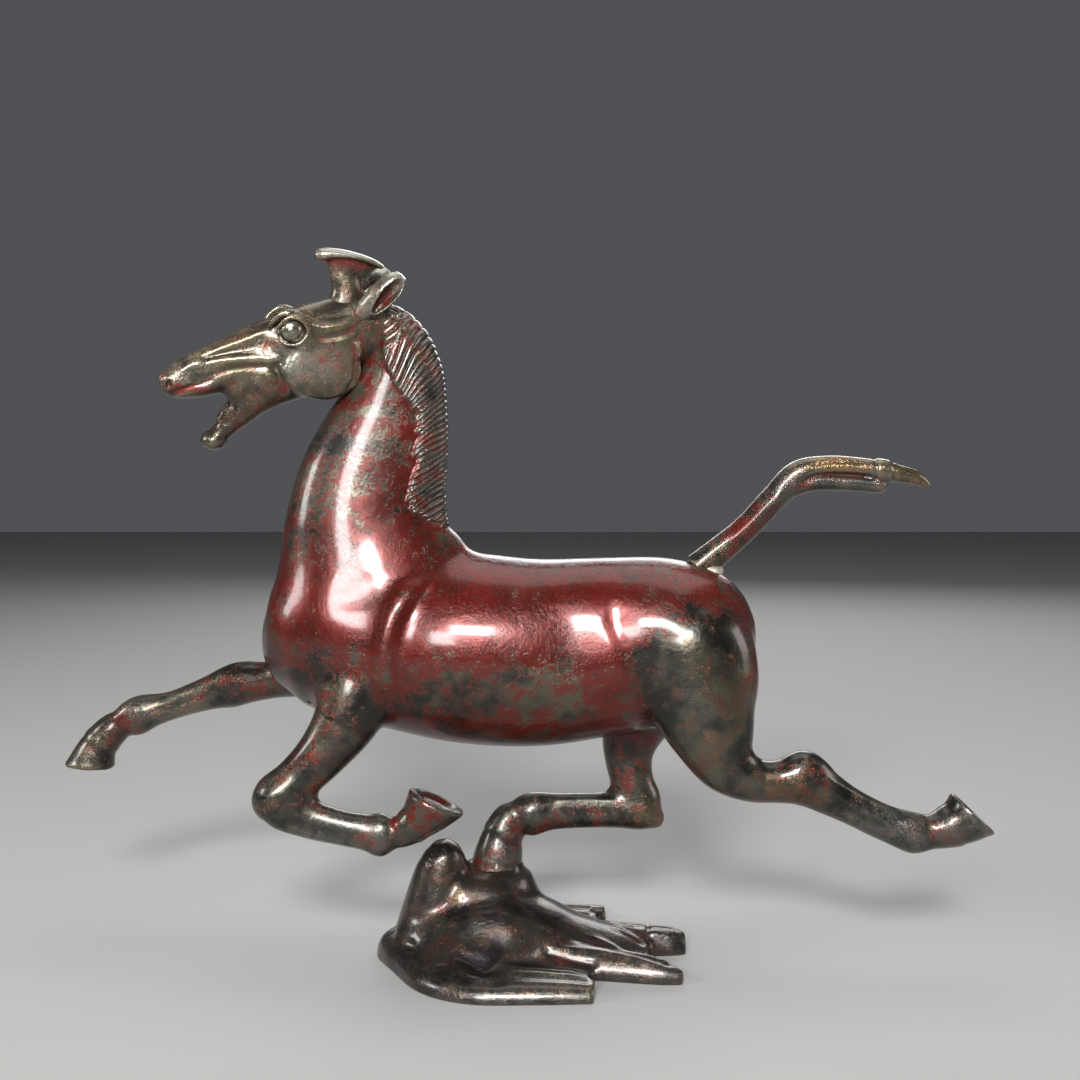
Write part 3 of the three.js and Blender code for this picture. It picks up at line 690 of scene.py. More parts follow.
@dataclass(frozen=True)
class Patina:
    """Worn red lacquer over dark and rubbed bronze."""

    name: str
    lacquer: Colour = (0.1, 0.0055, 0.003)
    old_lacquer: Colour = (0.036, 0.0075, 0.0045)
    dark: Colour = (0.016, 0.016, 0.013)
    olive: Colour = (0.06, 0.058, 0.042)
    steel: Colour = (0.115, 0.117, 0.108)
    gold: Colour = (0.2, 0.135, 0.06)
    umber: Colour = (0.085, 0.045, 0.032)
    patch: float = 0.0055  # size of the worn patches
    red_bias: float = 0.0
    coat: float = 0.42

    def make(self) -> bpy.types.Material:
        """Builds the material."""
        g = Graph(self.name)
        broad = g.noise(self.patch * 3.2, 4, 0.6, 0.3)
        patches = g.noise(self.patch, 6, 0.66, 0.2)
        fine = g.noise(self.patch * 0.17, 4, 0.7)
        grain = g.noise(0.00055, 3, 0.6)
        hollow, proud = g.zone(HOLLOW), g.zone(PROUD)
        red, gold, dark, steel = g.zone(RED), g.zone(GOLD), g.zone(DARK), g.zone(STEEL)

        bare = g.mix(g.step(broad, 0.38, 0.62), self.dark, self.olive)
        bare = g.mix(g.step(g.total((patches, 0.8), (broad, 0.5)), 0.62, 0.8), bare, self.umber)
        rubbed = g.total((steel, 1.0), (proud, 0.3), (patches, 1.1), (fine, 0.9), (dark, -0.3))
        steel_share = g.step(rubbed, 1.25, 2.05)
        bare = g.mix(steel_share, bare, self.steel)
        gold_share = g.step(g.total((gold, 1.0), (proud, 0.25), (patches, 0.9), (fine, 1.0)), 1.3, 1.95)
        bare = g.mix(gold_share, bare, self.gold)

        amount = g.total(
            (red, 0.95), (patches, 3.1), (fine, 2.1), (broad, 0.8), (hollow, 0.4), (proud, -0.3), (dark, -0.45),
            (-3.46 + self.red_bias, 1.0),
        )
        red_share = g.total((g.step(amount, -0.1, 0.14), 0.62), (g.step(amount, -0.7, 0.7), 0.38))
        lacquer = g.mix(g.step(g.total((broad, 0.6), (fine, 0.6)), 0.42, 0.78), self.old_lacquer, self.lacquer)
        colour = g.mix(red_share, bare, lacquer)
        grime = g.step(g.total((hollow, 0.8), (fine, 0.35)), 0.45, 1.1)
        colour = g.mix(g.product(grime, 0.6), colour, self.dark)
        flecks = g.step(g.total((grain, 0.6), (fine, 0.7), (patches, 0.6), (proud, 0.1)), 1.08, 1.3)
        colour = g.mix(g.product(flecks, 0.5), colour, self.gold)

        metal = g.total((red_share, -0.36), (gold_share, 0.12), (0.72, 1.0))
        rough = g.total((fine, 0.2), (broad, 0.12), (red_share, -0.04), (grime, 0.14), (0.085, 1.0))
        pits = g.step(g.cells(0.0013), 0.05, 0.28)
        g.relief(
            (broad, 0.0004), (patches, 0.00016), (red_share, 0.00003), (fine, 0.00009), (pits, 0.00004),
            (grain, 0.00004),
        )
        return g.wear(
            Base_Color=colour, Metallic=metal, Roughness=rough, Specular_IOR_Level=0.25,
            Coat_Weight=self.coat, Coat_Roughness=0.13,
        )


@dataclass(frozen=True)
class PlainMetal:
    """Steel or solder with turning marks."""

    name: str
    colour: Colour
    worn: Colour
    rough: float = 0.3

    def make(self) -> bpy.types.Material:
        """Builds the material."""
        g = Graph(self.name)
        broad, fine = g.noise(0.002, 4, 0.6), g.noise(0.0004, 3, 0.6)
        colour = g.mix(g.step(broad, 0.35, 0.7), self.colour, self.worn)
        g.relief((broad, 0.0001), (fine, 0.00003))
        rough = g.total((fine, 0.25), (broad, 0.2), (self.rough, 1.0))
        return g.wear(Base_Color=colour, Metallic=0.9, Roughness=rough)


# ---- Body and legs --------------------------------------------------------------------


@dataclass(frozen=True)
class Leg:
    """One leg: its lofts, where it is parted from the body, and its sole."""

    name: str
    upper: Rows
    hoof: Rows
    seam: float
    sole: tuple[Sequence[float], Sequence[float]]
    lower: Rows = ()

    def lofts(self) -> list[Loft]:
        """The leg's lofts, the hoof last."""
        limbs = [Loft(self.upper, step=1.2)]
        if self.lower:
            limbs.append(Loft(self.lower, step=1.0))
        return [*limbs, Loft(self.hoof, step=0.9, cut=self.sole)]

    def parting(self) -> tuple[np.ndarray, np.ndarray, float]:
        """Point, facing and radius of the cut that parts the leg from the body."""
        rows = np.array([[*r, 0.0][:6] for r in self.upper], float)
        line = spline(rows, 0.5)
        before = int(self.seam)
        near = rows[before] + (rows[before + 1] - rows[before]) * (self.seam - before)
        nearest = int(np.linalg.norm(line[:, :3] - near[:3], axis=1).argmin())
        along = unit(line[nearest + 1, :3] - line[nearest - 1, :3])
        return line[nearest, :3], along, float(line[nearest, 3:5].max())

    def toe(self) -> np.ndarray:
        """A point in the hoof."""
        return np.array(self.hoof[-2][:3], float)


LEFT_FORE = Leg(
    "left_fore",
    upper=(
        (-42, -8, 104, 6, 10), (-45, -13.4, 92, 9.6, 13.4), (-47.6, -17, 81.5, 8.4, 10.6),
        (-54.6, -18.8, 71, 6.8, 8.2),
        (-62.6, -20.4, 62.6, 6.2, 7.2), (-68.6, -21.2, 57, 6.6, 7.8), (-72.4, -21.4, 53.6, 4.4, 5.4),
        (-74, -21.4, 52.2, 1.4, 1.8),
    ),
    lower=(
        (-73, -21.4, 58.2, 2.4, 2.6), (-67.4, -21.4, 55.2, 6, 7), (-58.6, -21.6, 51, 5, 6),
        (-48.6, -22, 48.4, 4.5, 5.4),
        (-40.5, -22, 47, 4.7, 5.6), (-36, -22, 46.6, 5.2, 6.4), (-32, -22, 47, 3.8, 4), (-30, -22, 48, 2, 2),
    ),
    hoof=(
        (-35, -22, 44.8, 2.6, 2.8), (-31.5, -22, 46.5, 4.4, 4.6), (-26.5, -22, 49.8, 5.8, 6),
        (-20.5, -22, 56.2, 7.2, 8.8), (-15, -22, 63.3, 8, 10.4),
    ),
    seam=2.25,
    sole=((-19.7, -22, 56.9), (0.41, 0, 0.91)),
)
RIGHT_FORE = Leg(
    "right_fore",
    upper=(
        (-52, 9, 100, 6, 8), (-64, 14.4, 91.6, 8, 9), (-78, 18.2, 87, 6.2, 6.4), (-90, 19.6, 85.4, 6.3, 7.3),
        (-101, 20.2, 81.8, 5.2, 5.7), (-113.6, 20.8, 77.6, 4.4, 4.9), (-124, 21, 74.8, 5.2, 6.3),
        (-129.6, 21, 72.2, 4.4, 5), (-132.4, 21, 70.6, 2.2, 2.4),
    ),
    hoof=(
        (-127, 21, 73.6, 2.6, 2.8), (-131.8, 21, 70.6, 4.8, 5.4), (-137.4, 21, 64.8, 6, 6.2),
        (-140.9, 21, 56.5, 7.4, 8.1), (-143.2, 21, 49, 8, 9.2),
    ),
    seam=1.35,
    sole=((-139, 21, 56.8), (-0.09, 0, -1)),
)
LEFT_HIND = Leg(
    "left_hind",
    upper=(
        (55, -5, 118, 6, 9), (58, -10.4, 106, 12.6, 18.6), (61, -14.8, 91, 11.8, 19), (64.5, -18, 77.5, 9.5, 14),
        (69.5, -19.4, 67, 7.4, 9.6), (76.5, -20, 62.6, 6.2, 7), (84.5, -20, 62, 5.8, 6.6),
        (92.5, -20, 62.6, 5.9, 8.4),
        (99, -20, 58.8, 5.3, 6.8), (107.5, -20, 54, 4.6, 5.6), (117, -20, 49.4, 4.6, 5.6), (125, -20, 46.8, 5.3, 6),
        (131.5, -20, 46.4, 4.1, 5), (134, -20, 47.2, 2.2, 2.4),
    ),
    hoof=(
        (126.5, -20, 46.4, 2.6, 2.8), (131.5, -20, 46.6, 4.8, 5.2), (138.4, -20, 48.8, 6.2, 6.8),
        (145, -20, 53.2, 7.4, 8.8), (151, -20, 58.5, 8, 10),
    ),
    seam=4.55,
    sole=((144.6, -20, 52.4), (0.69, 0, 0.72)),
)
RIGHT_HIND = Leg(
    "right_hind",
    upper=(
        (54, 5, 117, 6, 9), (54, 10.6, 104, 12.6, 18.4), (51, 14.4, 88, 11.6, 18), (44, 16.4, 74, 8.8, 12.4),
        (41.4, 16, 63, 6.8, 8.6), (42.6, 14.8, 53.5, 6, 7.2), (45.6, 13.8, 46.5, 5.8, 7), (47.6, 13.4, 42.4, 4, 5),
        (48.4, 13.3, 40.4, 1.4, 1.6),
    ),
    lower=(
        (52.4, 13.4, 40.6, 1.6, 1.8), (47, 13.2, 43.4, 5.2, 5.8), (38, 12.8, 44.4, 5, 6), (27, 12, 44.6, 4.6, 5.9),
        (16, 11.2, 44.5, 5, 6.2), (9.5, 10.6, 44.2, 5.6, 6.9), (4.5, 10.2, 43.8, 4.6, 5.4), (2, 10, 43.4, 2.2, 2.6),
    ),
    hoof=(
        (5, 10.2, 46, 2.6, 3), (1.8, 9.8, 42.6, 5, 5.6), (-0.6, 9.3, 37.4, 5.8, 6.7), (-1.8, 8.8, 31.5, 7, 8),
        (-3, 8.5, 25, 7.6, 8.6), (-3.6, 8.4, 19, 7.8, 8.8),
    ),
    seam=3.6,
    sole=((-3, 8.5, 26), (0, 0, -1)),
)


@dataclass(frozen=True)
class Mane:
    """Combed strands that run down both sides of the neck from its crest."""

    crest: Path = (
        (-5, 108), (-9.5, 124), (-17, 138), (-18.1, 152), (-17.4, 165), (-17.6, 177), (-19.5, 189), (-24.4, 198.5),
        (-31.6, 205), (-40, 208.5),
    )
    front: Path = (
        (-20.2, 140.8), (-24.5, 141.5), (-29.7, 145), (-30.2, 147.6), (-29.7, 155), (-28.1, 159.7), (-28.7, 164.4),
        (-27.1, 168.1), (-28.1, 170.7), (-27.6, 175.4), (-29.6, 178.4), (-32.6, 181.6), (-35.2, 185.6), (-37.2, 190),
        (-38.4, 195), (-39.4, 204.6),
    )
    lean: Path = ((140, 50), (146, 42), (152, 37), (172, 37), (182, 43), (192, 56), (204, 66))  # height, degrees
    strand: float = 1.62
    rise: float = 0.55
    relief: float = 0.95
    lowest: float = 139.0
    seed: int = 7

    def root(self, x: np.ndarray, z: np.ndarray) -> tuple[np.ndarray, np.ndarray]:
        """Follows a strand back to the crest.

        Returns:
            The height of its root, and how far in front of the crest the point is.
        """
        height = z.copy()
        for _ in range(6):
            t = self.edge(height) - x
            slope = np.tan(np.radians(np.interp(height, *np.array(self.lean).T)))
            height = 0.5 * height + 0.5 * (z + np.maximum(t, -2) * slope)
        return height, self.edge(height) - x

    def edge(self, height: np.ndarray) -> np.ndarray:
        """Where the crest is at a height."""
        table = np.array(self.crest)
        return np.interp(height, table[:, 1], table[:, 0])

    def reach(self, points: np.ndarray) -> np.ndarray:
        """True where the grain has to be fine enough for strands."""
        x, z = points[:, 0], points[:, 2]
        height, ahead = self.root(x, z)
        front = np.interp(height, *self.table())
        return (z > self.lowest - 2) & (ahead < front + 4.5) & (x > -47) & (x < 0)

    def table(self) -> tuple[np.ndarray, np.ndarray]:
        """Length of the strands, measured ahead of the crest, against the height of their roots."""
        x, z = np.array(self.front).T
        height, ahead = self.root(x, z)
        order = np.argsort(height)
        return height[order], ahead[order]

    def comb(self, clay: Clay) -> None:
        """Raises the strands."""
        x, z = clay.points[:, 0], clay.points[:, 2]
        height, ahead = self.root(x, z)
        draw = np.random.default_rng(self.seed)
        table = draw.random((3, 240))
        wave = 0.35 * np.sin(ahead * 0.55 + height * 0.3)
        count = (height + wave) / (self.strand / 0.87)
        number = np.clip(np.floor(count).astype(int), 0, 239)
        across = count - np.floor(count)
        start, level = np.array(self.front).T
        ends = self.edge(height) - np.interp(z, level, start) + (table[0][number] - 0.5) * 1.6
        tip = soft((ends - ahead) / 1.8)
        round_back = 1 - (2 * across - 1) ** 2
        deep = 0.7 + 0.6 * table[1][number]
        lift = tip * (self.rise + self.relief * deep * (np.sqrt(np.maximum(round_back, 0)) - 0.55))
        low = soft((z - self.lowest) / 3.0) * soft((214 - height) / 3.0)
        low = low * (0.5 + 0.5 * soft(np.abs(clay.points[:, 1]) / 3.0))
        here = (x > -47) & (x < 4) & (z > self.lowest)
        move = np.where(here, lift * low, 0)
        clay.points += clay.normals * move[:, None]
        clay.settle()
        clay.store("mane", np.where(here, tip * low, 0))


@dataclass
class Horse:
    """Body castings and the four legs, worked as one clay and then parted."""

    barrel: Rows = (
        (81, 0, 104, 3, 5), (77.5, 0, 104, 12, 13), (69, 0, 104, 19, 21.5), (54, 0, 103, 23, 26.5, -0.05),
        (34, 0, 101, 24, 28.5, -0.08), (10, 0, 99, 25.5, 30, -0.08), (-12, 0, 100.5, 25.5, 30.5, -0.1),
        (-34, 0, 103.5, 24, 29, -0.1), (-52, 0, 105, 22, 27, -0.05), (-66, 0, 104.5, 18, 22), (-74, 0, 103.5, 11, 14),
        (-77.5, 0, 103.5, 3, 5),
    )
    neck: Rows = (
        (-40, 0, 108, 20, 35, -0.1), (-42, 0, 124, 18.5, 32.5, -0.15), (-44, 0, 138, 15.5, 27, -0.18),
        (-42.5, 0, 152, 13.2, 24.4, -0.18), (-39, 0, 165, 11.6, 21.6, -0.15), (-35.6, 0, 177, 10.5, 18, -0.12),
        (-33.5, 0, 189, 9.8, 14, -0.1), (-35, 0, 198.5, 8.8, 10.6), (-39, 0, 205, 6.6, 7.4), (-43, 0, 208.5, 3, 3),
    )
    legs: tuple[Leg, ...] = (LEFT_FORE, RIGHT_FORE, LEFT_HIND, RIGHT_HIND)
    mane: Mane = field(default_factory=Mane)
    coarse: float = 1.4
    grain: float = 0.62

    def build(self, shop: Shop, body: bpy.types.Material, leg: bpy.types.Material) -> None:
        """Makes the two body halves and the legs."""
        clay = self.rough()
        self.mark(clay)
        clay.refine(self.mane.reach(clay.points))
        clay.smooth(2, 0.4)
        self.mane.comb(clay)
        clay.weather()
        self.patina(clay)
        for name, mesh in self.parted(clay).items():
            if name.startswith("body"):
                shop.piece(f"{name}_casting", mesh, body, [name])
            else:
                shop.piece(f"{name}_leg_casting", mesh, leg, [f"{name}_leg"])

    def rough(self) -> Clay:
        """Fuses the lofts, with wide fillets on the torso and crisp hooves."""
        bm = bmesh.new()
        Loft(self.barrel, sides=64, step=2).add_to(bm)
        Loft(self.neck, sides=64, step=2).add_to(bm)
        for leg in self.legs:
            for limb in leg.lofts()[:-1]:
                limb.add_to(bm)
        clay = Clay(bm, self.coarse)
        clay.smooth(34, 0.5, fill=True)
        clay.smooth(3, 0.4)
        bm = bmesh.new()
        bm.from_mesh(clay.mesh)
        for leg in self.legs:
            for limb in leg.lofts():
                limb.add_to(bm)
        fine = Clay(bm, self.grain)
        fine.smooth(10, 0.5)
        fine.smooth(8, 0.5, fill=True)
        return fine

    def mark(self, clay: Clay) -> None:
        """Works the muscles, creases, joints and hooves."""
        girth = ((-19.5, 124), (-25, 118.5), (-29, 111), (-31, 103), (-31.4, 95), (-31, 87))
        clay.ledge(girth, 1.6, -0.75, 6.5, ends=7)
        clay.ridge([(x - 0.6, z) for x, z in girth], 1.5, -0.55, ends=7)
        clay.ridge([(x - 5.2, z + 0.5) for x, z in girth], 2.6, 0.75, ends=7)
        clay.settle()
        chest = ((-76, 122), (-77, 108), (-72, 92), (-62, 82))
        clay.ridge(chest, 2.2, -0.5, keep=lambda p: np.exp(-((p[:, 1] / 1.6) ** 2)))
        haunch = ((33, 120), (32.5, 112), (36, 102), (40, 92), (41.5, 80), (42, 70))
        clay.ledge(haunch, 2.2, -0.55, 9, ends=8, keep=lambda p: (np.abs(p[:, 1]) > 8).astype(float))
        clay.bump((31, -22, 110), (6, 8, 9), -0.4)
        clay.bump((22, -25, 108), (12, 10, 14), -1.5)
        clay.bump((-12, -25, 105), (15, 10, 16), 0.8)
        clay.bump((56, -23, 110), (14, 9, 14), 1.2)
        clay.bump((-34, -23, 120), (9, 8, 8), 1.1)
        clay.bump((-56, -19, 117), (8, 9, 9), 1.0)
        clay.bump((-60, -16, 98), (9, 9, 7), 0.5)
        clay.settle()
        self.joints(clay)
        self.hooves(clay)
        clay.smooth(2, 0.35)

    def joints(self, clay: Clay) -> None:
        """Works knees, hocks, cannons and fetlocks."""
        knee, fetlock = 0.7, 0.8
        for at, radii, height in (
            ((-73.5, -21.4, 55.5), (4, 6, 5), knee), ((-70, -26, 58), (3.5, 3, 3.5), 0.6),
            ((-37.5, -22, 41.5), (3.5, 6, 3), fetlock),
            ((-64, -25, 60), (3, 3, 4), 0.35), ((-92, 20, 79.6), (4, 6, 3.5), knee),
            ((-90, 24.6, 86), (4, 3, 4), 0.5),
            ((-124, 21, 69.4), (4, 6, 3), fetlock), ((92.5, -20, 70), (4.5, 6, 3), 0.8),
            ((90, -25, 63), (4, 3, 5), 0.5),
            ((125.5, -20, 41.6), (4, 6, 3), fetlock), ((50, 13.4, 39.8), (4, 6, 3.4), 0.8),
            ((46, 8.8, 45), (4, 3, 4), 0.5),
            ((9, 10.6, 37.8), (4, 6, 3), fetlock), ((9, 5.4, 44.6), (3, 2.5, 4), 0.4),
        ):
            clay.bump(at, radii, height, both=False)
        for path, keep in (
            (((-64, 52.6), (-56, 49.6), (-47, 47.6), (-40, 46.4)), on_left_legs),
            (((-98, 83.4), (-108, 79.8), (-119, 76)), on_right_legs),
            (((100, 57.4), (108, 53.2), (117, 48.8)), on_left_legs),
            (((36, 45), (27, 45.2), (18, 45)), on_right_legs),
        ):
            clay.ridge(path, 0.9, -0.4, ends=3, keep=keep)
        for path, keep in (
            (((-66, 50.6), (-57, 47), (-47, 44.6), (-40, 43.2)), on_left_legs),
            (((-98, 79), (-108, 76), (-119, 71.6)), on_right_legs),
            (((95, 66), (104, 61), (114, 55.6), (122, 51.4)), on_left_legs),
            (((38, 48.4), (27, 49), (16, 48.8)), on_right_legs),
        ):
            clay.ridge(path, 0.8, 0.35, ends=3, keep=keep)
        clay.settle()

    def hooves(self, clay: Clay) -> None:
        """Dishes the soles and works the rims and coronets."""
        for leg in self.legs:
            point, facing = (np.array(v, float) for v in leg.sole)
            facing = unit(facing)
            rows = np.array(leg.hoof, float)
            axis = rows[-2, :3] - rows[-3, :3]
            axis = unit(axis)
            middle = rows[-2, :3] + axis * float((point - rows[-2, :3]) @ facing) / float(axis @ facing)
            off = clay.points - middle
            height = off @ facing
            flat = off - np.outer(height, facing)
            far = np.linalg.norm(flat, axis=1)
            on_sole = (clay.normals @ facing > 0.8) & (np.abs(height) < 1.6) & (far < 12)
            if leg is not RIGHT_HIND:
                dish = np.where(on_sole, soft((6.4 - far) / 3.0), 0) * 1.6
                clay.points -= facing * dish[:, None]
            near = np.linalg.norm(off, axis=1) < 15
            rim = np.where(near & ~on_sole, np.exp(-(((height + 0.9) / 0.8) ** 2)), 0) * 0.3
            clay.points += clay.normals * rim[:, None]
            coronet = rows[2, :3]
            rise = (clay.points - coronet) @ unit(rows[3, :3] - rows[1, :3])
            close = np.linalg.norm(clay.points - coronet, axis=1) < 11
            swell = 0.22 * np.exp(-(((rise + 1.6) / 1.3) ** 2)) - 0.14 * np.exp(-(((rise - 0.8) / 1.1) ** 2))
            band = np.where(close, swell, 0)
            clay.points += clay.normals * band[:, None]
            clay.settle()

    def patina(self, clay: Clay) -> None:
        """Paints the zones of the body and the legs."""
        clay.paint(RED, (
            (5, 118, 52, 15, 0.6), (-15, 106, 30, 12, 0.4), (25, 108, 20, 10, 0.35), (66, 118, 22, 9, 0.35),
            (78, 104, 7, 16, 0.4), (-50, 128, 26, 18, 0.35), (-34, 146, 12, 18, 0.3), (-52, 112, 18, 14, 0.25),
            (-68, 112, 12, 20, 0.2), (-55, 100, 20, 14, 0.1),
            (-32, 100, 6, 16, 0.4), (31, 96, 7, 24, 0.5), (-5, 76, 36, 9, 0.35), (-38, 182, 7, 10, 0.1),
            (-56, 140, 14, 30, -0.12),
            (-62, 72, 9, 6, 0.35), (-26, 56, 8, 8, 0.5), (-88, 86, 10, 8, 0.35), (-128, 72, 7, 6, 0.4),
            (62, 92, 14, 20, -0.6), (68, 72, 12, 12, -0.35), (82, 92, 5, 22, 0.35), (36, 84, 6, 18, 0.35),
            (92, 64, 8, 7, 0.4), (44, 62, 8, 12, 0.3), (10, 42, 12, 8, 0.25), (126, 50, 8, 6, 0.2),
            (0, 32, 8, 10, 0.25),
        ), base=0.36)
        clay.paint(DARK, (
            (58, 95, 17, 24, 0.8), (4, 91, 30, 7, 0.4), (-62, 104, 18, 16, 0.1), (-48, 80, 14, 12, 0.3),
            (66, 70, 12, 12, 0.5), (-2, 70, 40, 6, 0.3), (-60, 54, 22, 8, 0.25), (110, 54, 22, 10, 0.35),
        ), base=0.12)
        clay.paint(GOLD, (
            (-56, 190, 10, 16, 0.35), (-20, 128, 30, 5, 0.15), (-24, 108, 3, 12, 0.25), (6, 118, 26, 6, 0.12),
            (84, 62, 12, 7, 0.35), (60, 74, 9, 9, 0.25),
            (-110, 78, 20, 8, 0.3), (-140, 62, 9, 9, 0.3), (44, 46, 9, 8, 0.3), (46, 72, 6, 10, 0.4),
            (-66, 54, 8, 8, 0.15),
        ), base=0.06)
        clay.paint(STEEL, (
            (-45, 160, 22, 30, 0.42), (-50, 48, 20, 8, 0.4), (-20, 58, 8, 9, 0.2), (-142, 60, 8, 9, 0.4),
            (-112, 78, 26, 8, 0.4), (118, 50, 22, 10, 0.45), (148, 52, 8, 12, 0.3), (52, 106, 12, 12, 0.25),
            (20, 46, 16, 6, 0.3), (-1, 34, 8, 9, 0.35), (-66, 118, 14, 20, 0.2),
        ), base=0.12)
        mane = clay.value("mane")
        clay.store(STEEL, clay.value(STEEL) + 0.35 * mane)
        clay.store(RED, clay.value(RED) - 0.12 * mane)
        clay.store(GOLD, clay.value(GOLD) + 0.25 * mane)
        clay.mesh.attributes.remove(clay.mesh.attributes["mane"])

    def parted(self, clay: Clay) -> dict[str, bpy.types.Mesh]:
        """Parts the clay into its castings.

        Returns:
            A mesh for each casting, its seams closed and a hair apart.
        """
        bm = bmesh.new()
        bm.from_mesh(clay.mesh)
        part = bm.faces.layers.int.new("part")
        seams: dict[str, tuple[np.ndarray, np.ndarray]] = {}
        for number, leg in enumerate(self.legs, start=2):
            point, along, radius = leg.parting()
            self._part_leg(bm, part, number, leg, Vector(point), Vector(along), radius)
            seams[leg.name] = (point, along)
        rest = [f for f in bm.faces if f[part] == 0]
        geometry = list({g for f in rest for g in (*f.verts, *f.edges)}) + rest
        bmesh.ops.bisect_plane(bm, geom=geometry, plane_co=(0, 0, 0), plane_no=(0, 1, 0))
        for face in bm.faces:
            if face[part] == 0:
                face[part] = 1 if face.calc_center_median().y > 0 else 6
        names = {6: "body_left_half", 1: "body_right_half"}
        names.update({number: leg.name for number, leg in enumerate(self.legs, start=2)})
        made = {}
        for number, name in names.items():
            own = bm.copy()
            layer = own.faces.layers.int["part"]
            bmesh.ops.delete(own, geom=[f for f in own.faces if f[layer] != number], context="FACES")
            edge = [e for e in own.edges if e.is_boundary]
            for vert in {v for e in edge for v in e.verts}:
                if name.startswith("body") and abs(vert.co.y) < 0.01:
                    vert.co.y += HAIR if number == 1 else -HAIR
            if name in seams:
                along = Vector(seams[name][1])
                for vert in {v for e in edge for v in e.verts}:
                    vert.co += along * HAIR
            bmesh.ops.holes_fill(own, edges=edge, sides=0)
            for line in edge:
                line.smooth = False
            bmesh.ops.triangulate(own, faces=[f for f in own.faces if len(f.verts) > 4])
            own.faces.layers.int.remove(own.faces.layers.int["part"])
            mesh = bpy.data.meshes.new(name)
            own.to_mesh(mesh)
            own.free()
            made[name] = mesh
        bm.free()
        return made

    @staticmethod
    def _part_leg(
        bm: bmesh.types.BMesh, part: bmesh.types.BMLayerItem, number: int, leg: Leg,
        point: Vector, along: Vector, radius: float,
    ) -> None:
        """Cuts through a leg and numbers the faces beyond the cut.

        The cut has to close round the leg, or the numbers run on over the body.
        """
        reach = SEAM_REACH * radius
        near = [v for v in bm.verts if (v.co - point).length < reach and abs((v.co - point).dot(along)) < SEAM_SLAB]
        chosen = set(near)
        faces = [f for f in {f for v in near for f in v.link_faces} if all(v in chosen for v in f.verts)]
        geometry = list({g for f in faces for g in (*f.verts, *f.edges)}) + faces
        cut = bmesh.ops.bisect_plane(bm, geom=geometry, plane_co=point, plane_no=along)["geom_cut"]
        wall = {g for g in cut if isinstance(g, bmesh.types.BMEdge)}
        toe = Vector(leg.toe())
        seed = min(bm.faces, key=lambda f: (f.calc_center_median() - toe).length_squared)
        seen, edge = {seed}, [seed]
        while edge:
            face = edge.pop()
            face[part] = number
            for side in face.edges:
                if side in wall:
                    continue
                for other in side.link_faces:
                    if other not in seen:
                        seen.add(other)
                        edge.append(other)


# ---- Head -----------------------------------------------------------------------------


